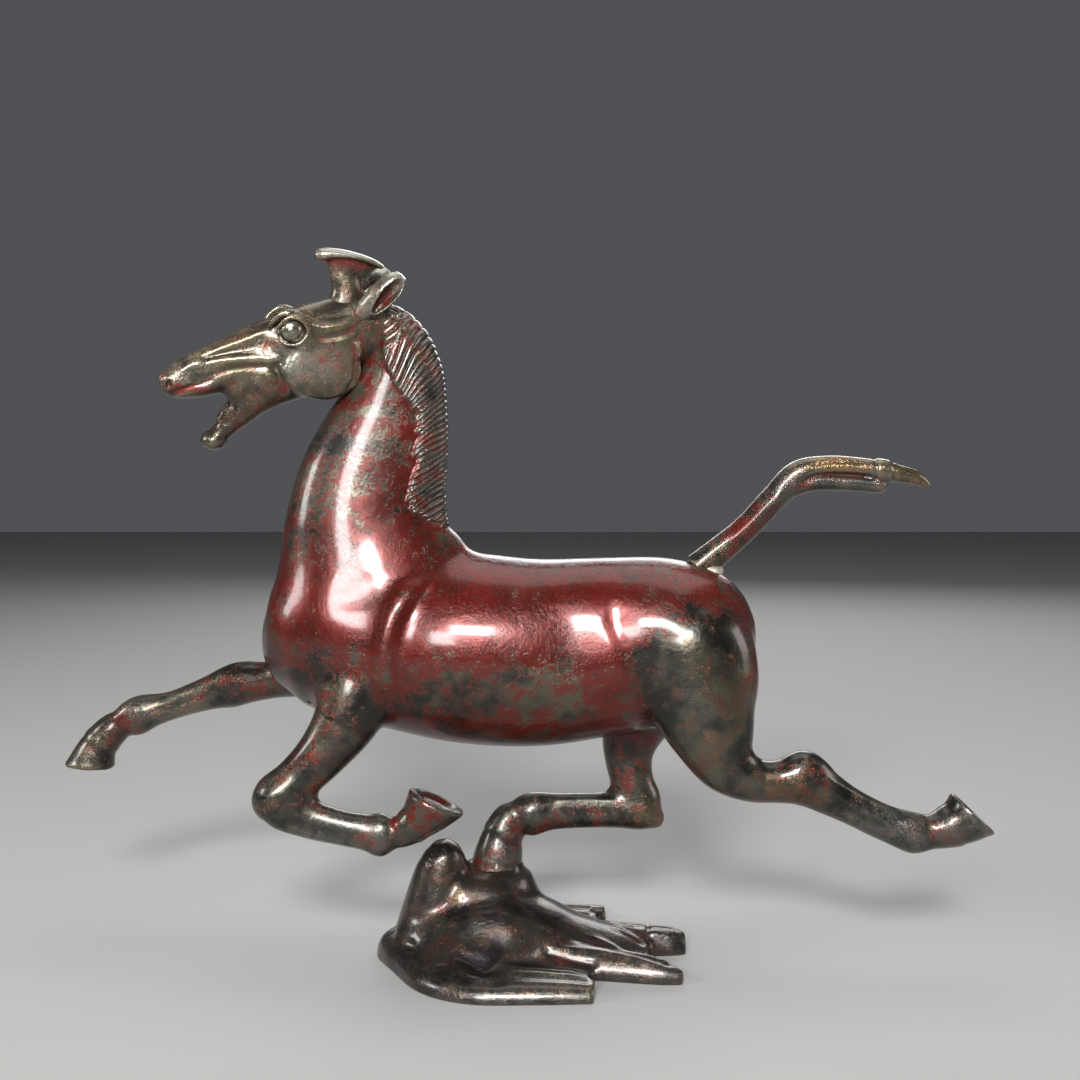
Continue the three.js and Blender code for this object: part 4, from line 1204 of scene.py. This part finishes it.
@dataclass
class Head:
    """The head casting, drawn straight ahead and then turned, with its eyes, ears and forelock."""

    skull: Rows = (
        (-35, 0, 199.5, 7, 9), (-45, 0, 202.6, 8.8, 11.8, -0.1), (-56, 0, 201.6, 9.2, 10.8, -0.15),
        (-66, 0, 200, 8.6, 8.8, -0.15),
        (-76, 0, 196, 6.8, 8.6, -0.2), (-87, 0, 191, 5.4, 7.8, -0.25), (-97, 0, 186.5, 5.2, 7.1, -0.15),
        (-104, 0, 184.4, 4.9, 5.2), (-108, 0, 184, 2.4, 2.6),
    )
    jaw: Rows = (
        (-58, 0, 189, 7.5, 7), (-70, 0, 185.6, 7.2, 7), (-79, 0, 180.4, 6.2, 6.2), (-85, 0, 174.2, 4.8, 4.9),
        (-88.2, 0, 169.8, 4, 3.3), (-91, 0, 167, 3.6, 2.8), (-93, 0, 165.6, 2, 1.6),
    )
    lips: Rows = (
        (-62, 0, 191, 8, 8), (-74, 0, 187, 6.8, 7.4), (-82, 0, 183.4, 5.6, 6.2), (-86.4, 0, 181.2, 4.6, 4.6),
        (-88.4, 0, 180.2, 2, 2.2),
    )
    mouth: Rows = (
        (-104, 0, 172, 3.2, 6.4), (-96, 0, 174.6, 3.2, 4.4), (-90, 0, 177.6, 2.8, 2.6), (-83, 0, 181, 2, 1.8),
        (-79, 0, 182.6, 0.8, 0.8),
    )
    cheek: Rows = (
        (-59.3, -10.1, 190.6, 8.6, 7.0), (-59.3, -9.7, 190.6, 10.6, 8.7), (-59.3, -8.4, 190.6, 11.8, 9.6),
        (-59.3, -6, 190.6, 12, 9.8),
        (-59.3, 6, 190.6, 12, 9.8), (-59.3, 8.4, 190.6, 11.8, 9.6), (-59.3, 9.7, 190.6, 10.6, 8.7),
        (-59.3, 10.1, 190.6, 8.6, 7.0),
    )
    upper_lid: Rows = ((-74.2, -7.6, 201.2), (-73.2, -8.8, 204.2), (-70.6, -9.3, 206.5), (-67.4, -9.4, 206.2),
        (-65, -9.6, 203.8), (-64.6, -9.4, 201.6))
    upper_lid_radii: tuple[float, ...] = (0.6, 0.7, 0.75, 0.75, 0.7, 0.6)
    lower_lid: Rows = ((-74.2, -7.6, 201.6), (-72.8, -8.8, 199.2), (-69.6, -9.4, 198.1), (-66.4, -9.6, 199.2),
        (-64.6, -9.6, 202.2))
    lower_lid_radii: tuple[float, ...] = (0.55, 0.65, 0.7, 0.65, 0.55)
    brow: Rows = (
        (-76.4, -5.4, 202.6), (-74.6, -6.4, 205.4), (-71.2, -6.9, 207.7), (-67.2, -7.3, 206.9), (-63.6, -8.2, 204.6),
        (-60, -8.7, 203.6),
        (-56, -8.5, 204.1), (-51.6, -7.9, 205.6), (-47.4, -7.0, 207.5),
    )
    brow_radii: tuple[float, ...] = (0.5, 1.0, 1.3, 1.3, 1.4, 1.6, 1.8, 1.6, 1.0)
    eye: Sequence[float] = (-69.3, 6.9, 202.4)
    eye_radius: float = 3.9
    ear: Rows = (
        (-48, 5, 206.9, 2.4, 2.6), (-45.6, 6.8, 210.4, 3.6, 3.7), (-42, 8.6, 214.6, 4.3, 4.3),
        (-38.4, 9.8, 218.8, 3.6, 3.8),
        (-36.2, 10.5, 221.4, 1.6, 1.8),
    )
    ear_cup: Rows = (
        (-44.6, 9.6, 209.4, 0.8, 0.8), (-43, 11.0, 211.6, 3.0, 1.9), (-40.4, 12.6, 215.2, 3.6, 2.6),
        (-37.6, 13.4, 218.6, 3.0, 2.0),
        (-36.2, 13.6, 220.6, 0.8, 0.8),
    )
    forelock: Rows = (
        (-50.6, 0, 208.6, 5.6, 10.4), (-50.8, 0, 212, 4.8, 7.0), (-51.4, 0, 216, 3.8, 4.9),
        (-51.9, 0, 219.4, 3.2, 5.2),
        (-51.4, 0, 222, 2.8, 7.2), (-50.8, 0, 224.6, 2.6, 9.0),
    )
    forelock_rim: Rows = (
        (-61.8, 0, 225.0, 1.4, 1.2), (-60.2, 0, 225.5, 3.0, 2.2), (-56.5, 0, 226.1, 3.6, 1.9),
        (-50, 0, 225.8, 3.8, 1.4),
        (-43.5, 0, 224.2, 3.4, 1.2), (-40, 0, 222.8, 1.4, 0.7),
    )
    temple: Rows = (
        (-57.8, -10.2, 197, 8.0, 5.6), (-57.8, -9.7, 197, 9.6, 7.0), (-57.8, -7.4, 197, 10.6, 8.0),
        (-57.8, 7.4, 197, 10.6, 8.0),
        (-57.8, 9.7, 197, 9.6, 7.0), (-57.8, 10.2, 197, 8.0, 5.6),
    )
    grain: float = 0.42

    def build(self, shop: Shop, head: bpy.types.Material, eye: bpy.types.Material) -> None:
        """Makes the head and what is set in it."""
        clay = self.rough()
        self.mark(clay)
        clay.weather(rounds=12, depth=0.16)
        self.patina(clay)
        shop.piece("head_casting", clay.mesh, head, ["head"], on_head=True)
        for side, name in ((-1, "left"), (1, "right")):
            shop.piece(f"{name}_eye_ball", self.eyeball(side), eye, [f"{name}_eye"], on_head=True)
            ear = self.ear_casting(side)
            shop.piece(f"{name}_ear_casting", ear, head, [f"{name}_ear"], on_head=True)
        shop.piece("forelock_casting", self.forelock_casting(), head, ["forelock"], on_head=True)

    def rough(self) -> Clay:
        """Fuses skull, cheeks, jaw and lids, and cuts the mouth and nostrils."""
        bm = bmesh.new()
        for rows in (self.skull, self.jaw, self.lips):
            Loft(rows, sides=40, step=1).add_to(bm)
        coarse = Clay(bm, 0.8)
        coarse.smooth(12, 0.5, fill=True)
        bm = bmesh.new()
        bm.from_mesh(coarse.mesh)
        Loft(self.cheek, sides=48, step=0.8, lie=Lie.FLAT).add_to(bm)
        for side in (-1, 1):
            flip = np.array([1, -side, 1])
            bent_rod(bm, np.array(self.upper_lid) * flip, self.upper_lid_radii)
            bent_rod(bm, np.array(self.lower_lid) * flip, self.lower_lid_radii)
            bent_rod(bm, np.array(self.brow) * flip, self.brow_radii)
            ball(bm, (-93, side * 2.2, 188.4), (9, 3.2, 3.4))
        ball(bm, (-91.2, 0, 166.3), (4.3, 4.6, 3.3))
        Loft(self.temple, sides=48, step=0.8, lie=Lie.FLAT).add_to(bm)
        ball(bm, (-104.4, 0, 184.6), (3.4, 5.2, 4.0))
        clay = Clay(bm, self.grain)
        clay.smooth(3, 0.5)
        clay.smooth(16, 0.5, fill=True)
        tools = bmesh.new()
        Loft(self.mouth, sides=32, step=1).add_to(tools)
        for side in (-1, 1):
            ball(tools, (-105.4, side * 5.2, 184.2), (1.1, 2.2, 1.7), 20)
        clay.carve(tools)
        clay.remesh(self.grain)
        clay.smooth(4, 0.5)
        return clay

    def mark(self, clay: Clay) -> None:
        """Works the planes, crests and folds of the face."""
        clay.ridge(((-70, 194.4), (-75, 193.4), (-82, 193.2), (-89, 192.3), (-95, 191.2), (-100.4, 189.2),
            (-103.4, 187.2)), 1.1, 0.75, ends=4)
        clay.ridge(((-72, 190.0), (-77, 190.7), (-82, 190.4), (-87, 189.5), (-91, 188.2), (-95, 186.8),
            (-99.6, 186.2)), 1.2, -0.7, ends=3)
        clay.ridge(((-76, 202.4), (-82, 199.2), (-90, 195.5), (-96.5, 192.6), (-102, 189.8)), 1.0, 0.5, ends=4)
        clay.ridge(((-78, 197.4), (-84, 195.6), (-91, 193.9), (-97, 191.2)), 1.5, -0.55, ends=3)
        clay.settle()
        clay.ridge(((-91.9, 186.6), (-95.6, 184.9), (-99.3, 183.7), (-102.2, 182.2), (-105.4, 181.2)),
            0.8, -0.7, ends=1.5)
        clay.ridge(((-92, 184.0), (-96, 182.4), (-100, 181.2), (-104, 180)), 1.1, 0.35, ends=2)
        clay.ridge(((-92, 181), (-89.6, 179), (-88.8, 177.4), (-89.4, 175), (-91.2, 172.2)), 0.9, 0.5, ends=1)
        clay.ridge(((-89.6, 184), (-87, 181), (-86, 178), (-86.6, 174.6), (-88.6, 171)), 0.8, -0.4, ends=2)
        clay.ledge(((-73.2, 192.4), (-71.9, 188.4), (-70.8, 184.6), (-69.2, 181.8)), 0.6, 0.6, 2.4, ends=2)
        clay.bump((-75.5, -7, 190.2), (3.4, 4, 2.4), 0.8)
        clay.bump((-78, -5.6, 186.4), (5, 4, 3.4), 0.7)
        clay.ridge(((-63.4, 201.4), (-59.5, 200.9), (-54.7, 201.8), (-49.4, 203.4)), 1.2, -0.75, ends=3)
        clay.ledge(((-51, 200.5), (-49, 196.6), (-48.1, 192), (-48.6, 187.6), (-51, 184)), 0.5, 0.45, 1.8, ends=2)
        clay.ridge(((-51.6, 201.6), (-50.2, 197), (-49.6, 192), (-50.2, 187.6), (-52.4, 183.6)), 0.5, -0.4, ends=2)
        clay.bump((-76.6, -5.6, 197.4), (2.4, 3, 2.2), -0.7)
        clay.bump((-66, -4, 208.6), (6, 4, 3), 0.5)
        clay.bump((-72, 0, 206), (5, 1.6, 5), -0.5)
        clay.settle()
        clay.smooth(1, 0.4)

    @staticmethod
    def patina(clay: Clay) -> None:
        """Paints the zones of the head."""
        clay.paint(RED, (
            (-98, 183.0, 8, 2.0, 1.0), (-105, 183, 2.5, 2.5, 0.5), (-84, 174, 6, 8, 0.65), (-50, 200, 5, 8, 0.35),
            (-72, 180, 6, 6, 0.45), (-62, 196, 8, 5, 0.3), (-80, 182, 7, 4, 0.25), (-74, 196, 3, 3, 0.4),
            (-86, 198, 12, 3, 0.25), (-106, 186, 2, 4, 0.4),
        ), base=0.12)
        clay.paint(GOLD, (
            (-84, 196, 16, 8, 0.3), (-60, 206, 12, 6, 0.3), (-96, 190, 10, 6, 0.2), (-58, 184, 10, 6, 0.1),
            (-76, 186, 8, 6, 0.15),
        ), base=0.12)
        clay.paint(DARK, ((-80, 176, 12, 6, 0.35), (-58, 182, 12, 5, 0.3), (-62, 201, 10, 2.2, 0.5),
            (-90, 166, 5, 4, 0.3)), base=0.1)
        clay.paint(STEEL, ((-62, 192, 10, 8, 0.4), (-98, 188, 10, 6, 0.3), (-76, 194, 12, 5, 0.3)), base=0.2)

    def eyeball(self, side: int) -> bpy.types.Mesh:
        """An eye with a shallow turned ring round its pupil."""
        bm = bmesh.new()
        x, y, z = self.eye
        ball(bm, (x, side * y, z), (self.eye_radius,) * 3, 64)
        mesh = bpy.data.meshes.new("eye")
        centre = Vector((x, side * y, z))
        gaze = Vector((-0.16, side, 0.02)).normalized()
        for vert in bm.verts:
            off = vert.co - centre
            away = math.degrees(off.angle(gaze))
            groove = 0.14 * math.exp(-(((away - 27) / 4.5) ** 2)) - 0.05 * math.exp(-((away / 14) ** 2))
            vert.co = centre + off * (1 - groove / self.eye_radius)
        bm.to_mesh(mesh)
        bm.free()
        return mesh

    def ear_casting(self, side: int) -> bpy.types.Mesh:
        """A leaf-shaped ear with a deep cup."""
        form, cup = Loft(self.ear, step=0.7), Loft(self.ear_cup, sides=32, step=0.6)
        if side < 0:
            form, cup = form.mirrored(), cup.mirrored()
        bm = bmesh.new()
        form.add_to(bm)
        clay = Clay(bm, 0.3)
        clay.smooth(2)
        tools = bmesh.new()
        cup.add_to(tools)
        clay.carve(tools)
        clay.remesh(0.3)
        clay.smooth(4, 0.5)
        clay.weather(rounds=10, depth=0.12)
        clay.paint(RED, ((-41, 214, 4, 5, 0.55),), base=0.15)
        clay.paint(GOLD, (), base=0.15)
        clay.paint(DARK, (), base=0.1)
        clay.paint(STEEL, ((-36, 221, 5, 4, 0.5),), base=0.55)
        return clay.mesh

    def forelock_casting(self) -> bpy.types.Mesh:
        """A bound tuft that flares into a cupped top."""
        bm = bmesh.new()
        Loft(self.forelock, sides=40, step=0.7).add_to(bm)
        Loft(self.forelock_rim, sides=32, step=0.6).add_to(bm)
        clay = Clay(bm, 0.34)
        clay.smooth(4, 0.5)
        clay.smooth(8, 0.5, fill=True)
        clay.bump((-51.4, -3.6, 221.6), (6, 2.4, 2.4), -0.4)
        clay.settle()
        clay.weather(rounds=10, depth=0.12)
        clay.paint(RED, ((-51, 223.8, 8, 2.4, 0.6),), base=0.2)
        clay.paint(GOLD, (), base=0.15)
        clay.paint(DARK, (), base=0.1)
        clay.paint(STEEL, ((-51, 227, 12, 1.6, 0.6),), base=0.3)
        return clay.mesh


# ---- Tail -----------------------------------------------------------------------------


@dataclass
class Tail:
    """The raised tail with its bound end and under strand, and the bead at its root."""

    tail: Rows = (
        (62, 0, 125.5, 4.4, 5), (69, 0, 131.2, 4.1, 4.6), (77.5, 0, 138.4, 3.8, 4.2), (87.5, 0, 149, 4, 4.3),
        (95, 0, 156, 4.2, 4.7),
        (105, 0, 158.6, 3.6, 3.7), (117.5, 0, 158, 3.5, 3.3), (120, 0, 157.6, 4, 3.9), (124.2, 0, 157, 3.8, 3.7),
        (126, 0, 156.6, 3, 3),
        (133, 0, 155, 2.2, 2.3), (137.5, 0, 152, 0.8, 0.9),
    )
    strand: Rows = ((92, 0, 151, 3, 2.6), (99, 0, 153.6, 3.6, 3), (110, 0, 153.6, 3.2, 2.8), (121, 0, 152.6, 3, 2.6),
        (123.4, 0, 152.3, 1.6, 1.4))

    def build(self, shop: Shop, finish: bpy.types.Material, bead: bpy.types.Material) -> None:
        """Makes the tail and the bead."""
        bm = bmesh.new()
        Loft(self.tail, step=0.8).add_to(bm)
        Loft(self.strand, step=0.8).add_to(bm)
        clay = Clay(bm, 0.42)
        clay.smooth(4, 0.5)
        clay.ridge(((94, 153.4), (100, 155.9), (110, 156), (119, 155.2)), 0.7, -0.55, ends=3)
        clay.ridge(((97, 158.8), (106, 160.2), (117, 159.6)), 0.7, -0.3, ends=4)
        for x in (119.4, 125.4):
            clay.ridge(((x, 164), (x - 0.6, 150)),
                0.7, -0.45, ends=0.2, keep=lambda p: (p[:, 2] > 154.6).astype(float))
        clay.ridge(((72, 134), (82, 143.6), (90, 151.6)), 1.1, 0.35, ends=5)
        clay.settle()
        clay.weather(rounds=10, depth=0.12)
        clay.paint(RED, ((80, 142, 14, 12, 0.5), (70, 132, 8, 8, 0.2), (99, 152, 6, 4, 0.4)), base=0.2)
        clay.paint(GOLD, ((108, 160, 16, 5, 0.5), (130, 156, 10, 5, 0.35), (68, 130, 7, 6, 0.2)), base=0.18)
        clay.paint(DARK, (), base=0.12)
        clay.paint(STEEL, ((110, 157, 20, 6, 0.35), (122, 157, 5, 6, 0.3), (90, 148, 8, 8, 0.2)), base=0.25)
        shop.piece("tail_casting", clay.mesh, finish, ["tail"])
        bm = bmesh.new()
        ball(bm, (66.5, 0, 125.0), (4.4, 4.6, 3.0), 40)
        lump = Clay(bm, 0.4)
        lump.bump((63, -3.6, 126), (2, 2, 2), 0.5, both=False)
        lump.bump((68.6, -3.8, 124), (1.8, 2, 1.6), 0.6, both=False)
        lump.smooth(2)
        shop.piece("tail_solder_bead", lump.mesh, bead, ["tail_solder"])


# ---- Swallow --------------------------------------------------------------------------


@dataclass
class Swallow:
    """The flying swallow that carries the hoof, flat underneath."""

    body: Rows = (
        (-36, 4, -1, 6, 5), (-32, 3.4, 0, 11.5, 10.5), (-25, 3, 2, 16.5, 15.5), (-13, 3.4, 3, 20.5, 19),
        (-1, 4, 4, 20.5, 19.5), (10, 4, 3, 18, 15.5),
        (22, 3, 1, 15.5, 12), (38, 1, 0, 12, 8.6), (47, -0.5, 0, 4, 4),
    )
    neck: Rows = (
        (-27, 4, 0, 13, 9.5), (-25, 3.6, 8, 12, 10), (-22.8, 3.2, 16, 10.6, 9.8), (-20.8, 2.8, 24, 9, 9.2),
        (-19.8, 2.4, 30, 7.6, 8), (-20, 2.0, 34.6, 5.8, 5.8),
        (-20.6, 1.8, 37.3, 2.6, 2.6),
    )
    back: Rows = ((-1, 7, 8, 15, 17), (-1.6, 8, 16, 12.6, 14.2), (-2.2, 8.4, 22, 10.6, 11.8),
        (-3, 8.5, 26.5, 8.8, 9.6), (-3, 8.5, 30, 8, 9))
    strips: tuple[Rows, ...] = (
        ((-36.5, 13, 0, 3.4, 5.5), (-37.6, 4, 0, 3.8, 6.4), (-30, -7.6, 0, 5.6, 7), (-19.4, -22.4, 0, 6.8, 6.8),
         (-8, -27.6, 0, 7.6, 6.2),
         (9, -28.2, 0, 7.4, 5.8), (22, -29, 0, 6.2, 5.2), (28, -29.6, 0, 5.2, 4.6)),
        ((-36, 8, 0, 3.4, 5.5), (-33.4, 17, 0, 4.4, 6.4), (-26, 25.6, 0, 5.8, 6.6), (-11, 32, 0, 7, 6.2),
         (9, 34.6, 0, 6.4, 5.4),
         (26, 36, 0, 5.2, 4.8), (34.5, 36.6, 0, 4, 4.2)),
        ((-27, -5, 0, 6, 5), (-16, -13, 0, 12.5, 5), (4, -16.4, 0, 13.6, 4.4), (21, -19, 0, 12.4, 3.6),
         (27, -20, 0, 11.4, 3.2)),
        ((-25, 13, 0, 6, 5), (-14, 20, 0, 12.5, 5), (6, 23.4, 0, 13, 4.4), (24, 26.4, 0, 12, 3.6),
         (32, 27.6, 0, 11, 3.2)),
        ((6, -6.6, 0, 8.4, 9.4), (24, -9.8, 0, 7.2, 8.6), (39, -13.8, 0, 5.8, 7.2), (50, -17.2, 0, 4.2, 5.6),
         (55.6, -19.2, 0, 2, 3.6)),
        ((8, 8.6, 0, 8.4, 9.8), (27, 8.6, 0, 7.6, 9.2), (44, 8, 0, 6.6, 8.2), (55, 7.6, 0, 5.6, 7.2),
         (59.4, 7.4, 0, 4.2, 5.4)),
    )
    seat: float = 25.7
    grain: float = 0.6

    def build(self, shop: Shop, finish: bpy.types.Material) -> None:
        """Makes the swallow."""
        clay = self.rough()
        self.mark(clay)
        clay.weather(rounds=14, depth=0.16)
        clay.paint(RED, ((-16, 14, 8, 12, 0.2), (20, 4, 30, 6, 0.1)), base=0.08)
        # The narrow gold spot at x -15.5, z 24 down the right side of the neck column is rubbed gold and a painted
        # highlight, a streak of light painted in gold; the other gold spots are rubbed gold.
        clay.paint(GOLD, ((-15.5, 24, 4, 9, 0.45), (30, 4, 36, 5, 0.15), (-34, 4, 8, 6, 0.1)), base=0.04)
        clay.paint(DARK, ((0, 10, 30, 12, 0.35),), base=0.3)
        clay.paint(STEEL, ((30, 4, 40, 6, 0.2), (-10, 16, 14, 8, 0.1)), base=0.14)
        x, y, z = clay.points.T
        band = soft((-y - 22 - np.minimum(0, x + 14)) / 3) * soft((9 - z) / 2)
        clay.store(STEEL, clay.value(STEEL) + 0.22 * band)
        clay.store(GOLD, clay.value(GOLD) + 0.14 * band)
        clay.store(RED, clay.value(RED) - 0.2 * band)
        shop.piece("swallow_casting", clay.mesh, finish, ["swallow"])

    def rough(self) -> Clay:
        """Fuses body, neck, wings and tail, and cuts the seat and the foot."""
        bm = bmesh.new()
        Loft(self.body, sides=56, step=1.6).add_to(bm)
        Loft(self.neck, step=1.2).add_to(bm)
        Loft(self.back, sides=48, step=1.2, cut=((0, 0, self.seat), (0, 0, 1))).add_to(bm)
        ball(bm, (1.4, 8.5, 25.4), (5.4, 7.2, 6.0))
        ball(bm, (-9.6, 8.0, 24.4), (5.0, 7.0, 5.2))
        ball(bm, (-13, 4, 19), (9.5, 11.5, 9.5))
        ball(bm, (-17.6, 3.2, 25), (6.8, 7.8, 8.6))
        ball(bm, (-3, 8.5, 24.2), (9.8, 11.2, 4.6))
        ball(bm, (-6, 2, 17), (13, 10, 10))
        ball(bm, (-12, -9, 5), (17, 12, 8))
        for rows in self.strips:
            Loft(rows, sides=28, step=1.2, lie=Lie.FLAT).add_to(bm)
        clay = Clay(bm, self.grain)
        clay.smooth(4, 0.5)
        clay.smooth(60, 0.5, fill=True)
        bm = bmesh.new()
        bm.from_mesh(clay.mesh)
        whole = [*bm.verts, *bm.edges, *bm.faces]
        cut = bmesh.ops.bisect_plane(bm, geom=whole, plane_co=(0, 0, 0), plane_no=(0, 0, -1), clear_outer=True)
        bmesh.ops.holes_fill(bm, edges=[g for g in cut["geom_cut"] if isinstance(g, bmesh.types.BMEdge)], sides=0)
        bm.to_mesh(clay.mesh)
        bm.free()
        clay.read()
        return clay

    def mark(self, clay: Clay) -> None:
        """Works the wings' rims, the feathers, the breast and the tail."""
        above = (0, 1)
        for path, width, height in (
            (((-33, 2), (-27, -8), (-18, -20), (-8, -24.6), (5, -25.4), (20, -25.8), (28, -26.4)), 0.9, 0.9),
            (((-36.6, 5), (-30, -8), (-21, -21), (-10, -27.6), (5, -28.8), (20, -29.2), (28, -29.8)), 1.5, -0.7),
            (((-30, 4), (-24.6, -6), (-16, -17.6), (-6, -22.4), (5, -23.2), (18, -23.6), (27, -24)), 0.9, -1.0),
            (((-13, -14.6), (2, -18.8), (15, -19.8), (24, -21)), 1.3, 0.6),
            (((12, -12.6), (22, -15.4), (30, -17)), 0.8, -0.7),
            (((14, -3), (31, -6.8), (44, -12.4), (52, -17.6)), 1.0, 0.7),
            (((16, -7), (32, -10), (44, -14.6), (53, -18.6)), 1.1, -1.0),
            (((15, -11.4), (34, -14.6), (47, -18.4)), 0.8, 0.4),
            (((16, 1), (34, 0.6), (46, -1.6)), 1.0, -0.8),
            (((20, 5.6), (36, 5), (56, 4)), 0.8, 0.6),
            (((20, 8.6), (36, 8.2), (58, 7.4)), 1.0, -0.8),
            (((46, 2), (47.4, 8), (46, 14)), 0.7, -0.9),
            (((-34, 16), (-25, 25), (-10, 31.6), (10, 34), (30, 35.6)), 1.6, -1.2),
            (((-18, 20), (-4, 26), (12, 28.4), (30, 30)), 1.0, -0.9),
            (((8, 20), (22, 22.4), (32, 24)), 0.8, -0.7),
        ):
            clay.ridge(path, width, height, ends=2.5, keep=on_wings, axes=above)
        for start in range(-8, 24, 4):
            clay.ridge(((start, -24.5), (start + 5, -21.4)), 0.5, -0.3, ends=0.8, keep=on_wings, axes=above)
        clay.settle()
        for y in (-4.2, 8.4):
            clay.bump((-24, y, 32), (1.9, 2, 1.5), 0.6, both=False)
            clay.bump((-24, y, 31.8), (0.9, 2, 0.6), -0.9, both=False)
        clay.settle()
        x, y, z = clay.points.T
        breast = soft((-4 - y) / 3) * soft((x + 27) / 4) * soft((3 - x) / 4) * soft((z - 3.4) / 2) * soft((17 - z) / 4)
        clay.smooth(90, 0.5 * breast)
        clay.points[:, 2] = np.maximum(clay.points[:, 2], 0)
        clay.smooth(2, 0.4)
        clay.points[:, 2] = np.maximum(clay.points[:, 2], 0)
        clay.settle()


# ---- Fittings -------------------------------------------------------------------------


@dataclass
class Fittings:
    """Pins, stud, washer and nut: carried over from the frame with their own metals."""

    nodes: tuple[str, ...] = (
        "neck_pin", "left_fore_pin", "right_fore_pin", "left_hind_pin", "right_hind_pin",
        "stud", "hoof_pin", "washer", "nut",
    )

    def dress(self, frame: dict, bronze: bpy.types.Material, steel: bpy.types.Material) -> None:
        """Gives each fitting its metal."""
        for name in self.nodes:
            node = frame["nodes"][name]
            node.data.materials.clear()
            node.data.materials.append(bronze if name.endswith("pin") and name != "hoof_pin" else steel)
            LOG.info("%s: dressed", name)


# ---- Studio ---------------------------------------------------------------------------


@dataclass
class Studio:
    """Pale floor, soft lights and the camera."""

    eye: Sequence[float] = (11.7, -400.0, 156.0)  # drawn millimetres
    lens: float = 41.33
    shift: float = -65 / 1080
    floor_size: float = 3.0

    def build(self, shop: Shop) -> None:
        """Sets the stage."""
        self.floor()
        self.lights()
        self.camera(shop)

    def floor(self) -> None:
        """A plain pale floor that the statue stands on."""
        bm = bmesh.new()
        bmesh.ops.create_grid(bm, x_segments=8, y_segments=8, size=self.floor_size)
        bmesh.ops.translate(bm, vec=(0, 0, -0.0002), verts=bm.verts)
        mesh = bpy.data.meshes.new("floor")
        bm.to_mesh(mesh)
        bm.free()
        g = Graph("floor_paper")
        mesh.materials.append(g.wear(Base_Color=(0.3, 0.297, 0.29), Roughness=0.85))
        floor = bpy.data.objects.new("floor", mesh)
        bpy.context.scene.collection.objects.link(floor)

    def lights(self) -> None:
        """Soft lights from above, in front and behind."""
        world = bpy.data.worlds.new("studio")
        world.use_nodes = True
        world.node_tree.nodes["Background"].inputs["Color"].default_value = (0.9, 0.93, 1.0, 1.0)
        world.node_tree.nodes["Background"].inputs["Strength"].default_value = 0.09
        bpy.context.scene.world = world
        for name, at, aim, size, power in (
            ("key", (-0.05, -1.1, 0.74), (0.0, 0.0, 0.11), (0.3, 0.2), 22.0),
            ("window", (-0.3, -1.08, 0.5), (-0.04, 0.0, 0.14), (0.24, 0.26), 8.0),
            ("side", (-1.05, -0.3, 0.5), (-0.04, 0.0, 0.12), (0.25, 0.3), 5.0),
            ("top", (0.05, 0.15, 1.0), (0.0, 0.0, 0.1), (0.9, 0.6), 4.0),
            ("back", (0.2, 1.1, 0.7), (0.0, 0.0, 0.1), (0.9, 0.5), 6.5),
            ("tail side", (1.1, -0.1, 0.45), (0.04, 0.0, 0.1), (0.4, 0.4), 3.0),
        ):
            lamp = bpy.data.lights.new(name, "AREA")
            lamp.shape = "RECTANGLE"
            lamp.size, lamp.size_y = size
            lamp.energy = power
            made = bpy.data.objects.new(name, lamp)
            made.location = at
            made.rotation_euler = (Vector(aim) - Vector(at)).to_track_quat("-Z", "Y").to_euler()
            bpy.context.scene.collection.objects.link(made)

    def camera(self, shop: Shop) -> None:
        """A level camera in front of the statue's left side, and the plain view transform."""
        data = bpy.data.cameras.new("camera")
        data.lens = self.lens
        data.sensor_width = 36.0
        data.shift_y = self.shift
        data.clip_start = 0.01
        made = bpy.data.objects.new("camera", data)
        made.location = shop.place(self.eye)
        made.rotation_euler = (math.pi / 2, 0, 0)
        bpy.context.scene.collection.objects.link(made)
        bpy.context.scene.camera = made
        bpy.context.scene.view_settings.view_transform = "Standard"


def main() -> None:
    """Builds the statue around its frame, and the studio around the statue."""
    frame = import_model()
    shop = Shop.open()

    body = Patina("body_patina", olive=(0.075, 0.07, 0.048), red_bias=0.14).make()
    leg = Patina("leg_patina", red_bias=-0.05, patch=0.0045).make()
    head = Patina(
        "head_patina", patch=0.0036, red_bias=-0.1, lacquer=(0.17, 0.018, 0.012), steel=(0.27, 0.262, 0.22),
        olive=(0.125, 0.105, 0.068), dark=(0.042, 0.036, 0.026), gold=(0.36, 0.28, 0.15),
    ).make()
    tail = Patina("tail_patina", patch=0.0036).make()
    bird = Patina(
        "swallow_patina", patch=0.004, red_bias=-0.12, dark=(0.02, 0.016, 0.017), olive=(0.05, 0.046, 0.036),
        umber=(0.06, 0.036, 0.028),
    ).make()
    eye = PlainMetal("eye_bronze", (0.15, 0.14, 0.12), (0.32, 0.29, 0.22), 0.06).make()
    bead = PlainMetal("solder_grey", (0.5, 0.47, 0.4), (0.3, 0.26, 0.2), 0.35).make()
    steel = PlainMetal("pin_steel", (0.45, 0.44, 0.4), (0.28, 0.24, 0.18), 0.2).make()

    Horse().build(shop, body, leg)
    Head().build(shop, head, eye)
    Tail().build(shop, tail, bead)
    Swallow().build(shop, bird)
    Fittings().dress(frame, body, steel)
    Studio().build(shop)


if __name__ == "__main__":
    logging.basicConfig(level=logging.INFO, format="%(message)s")
    main()
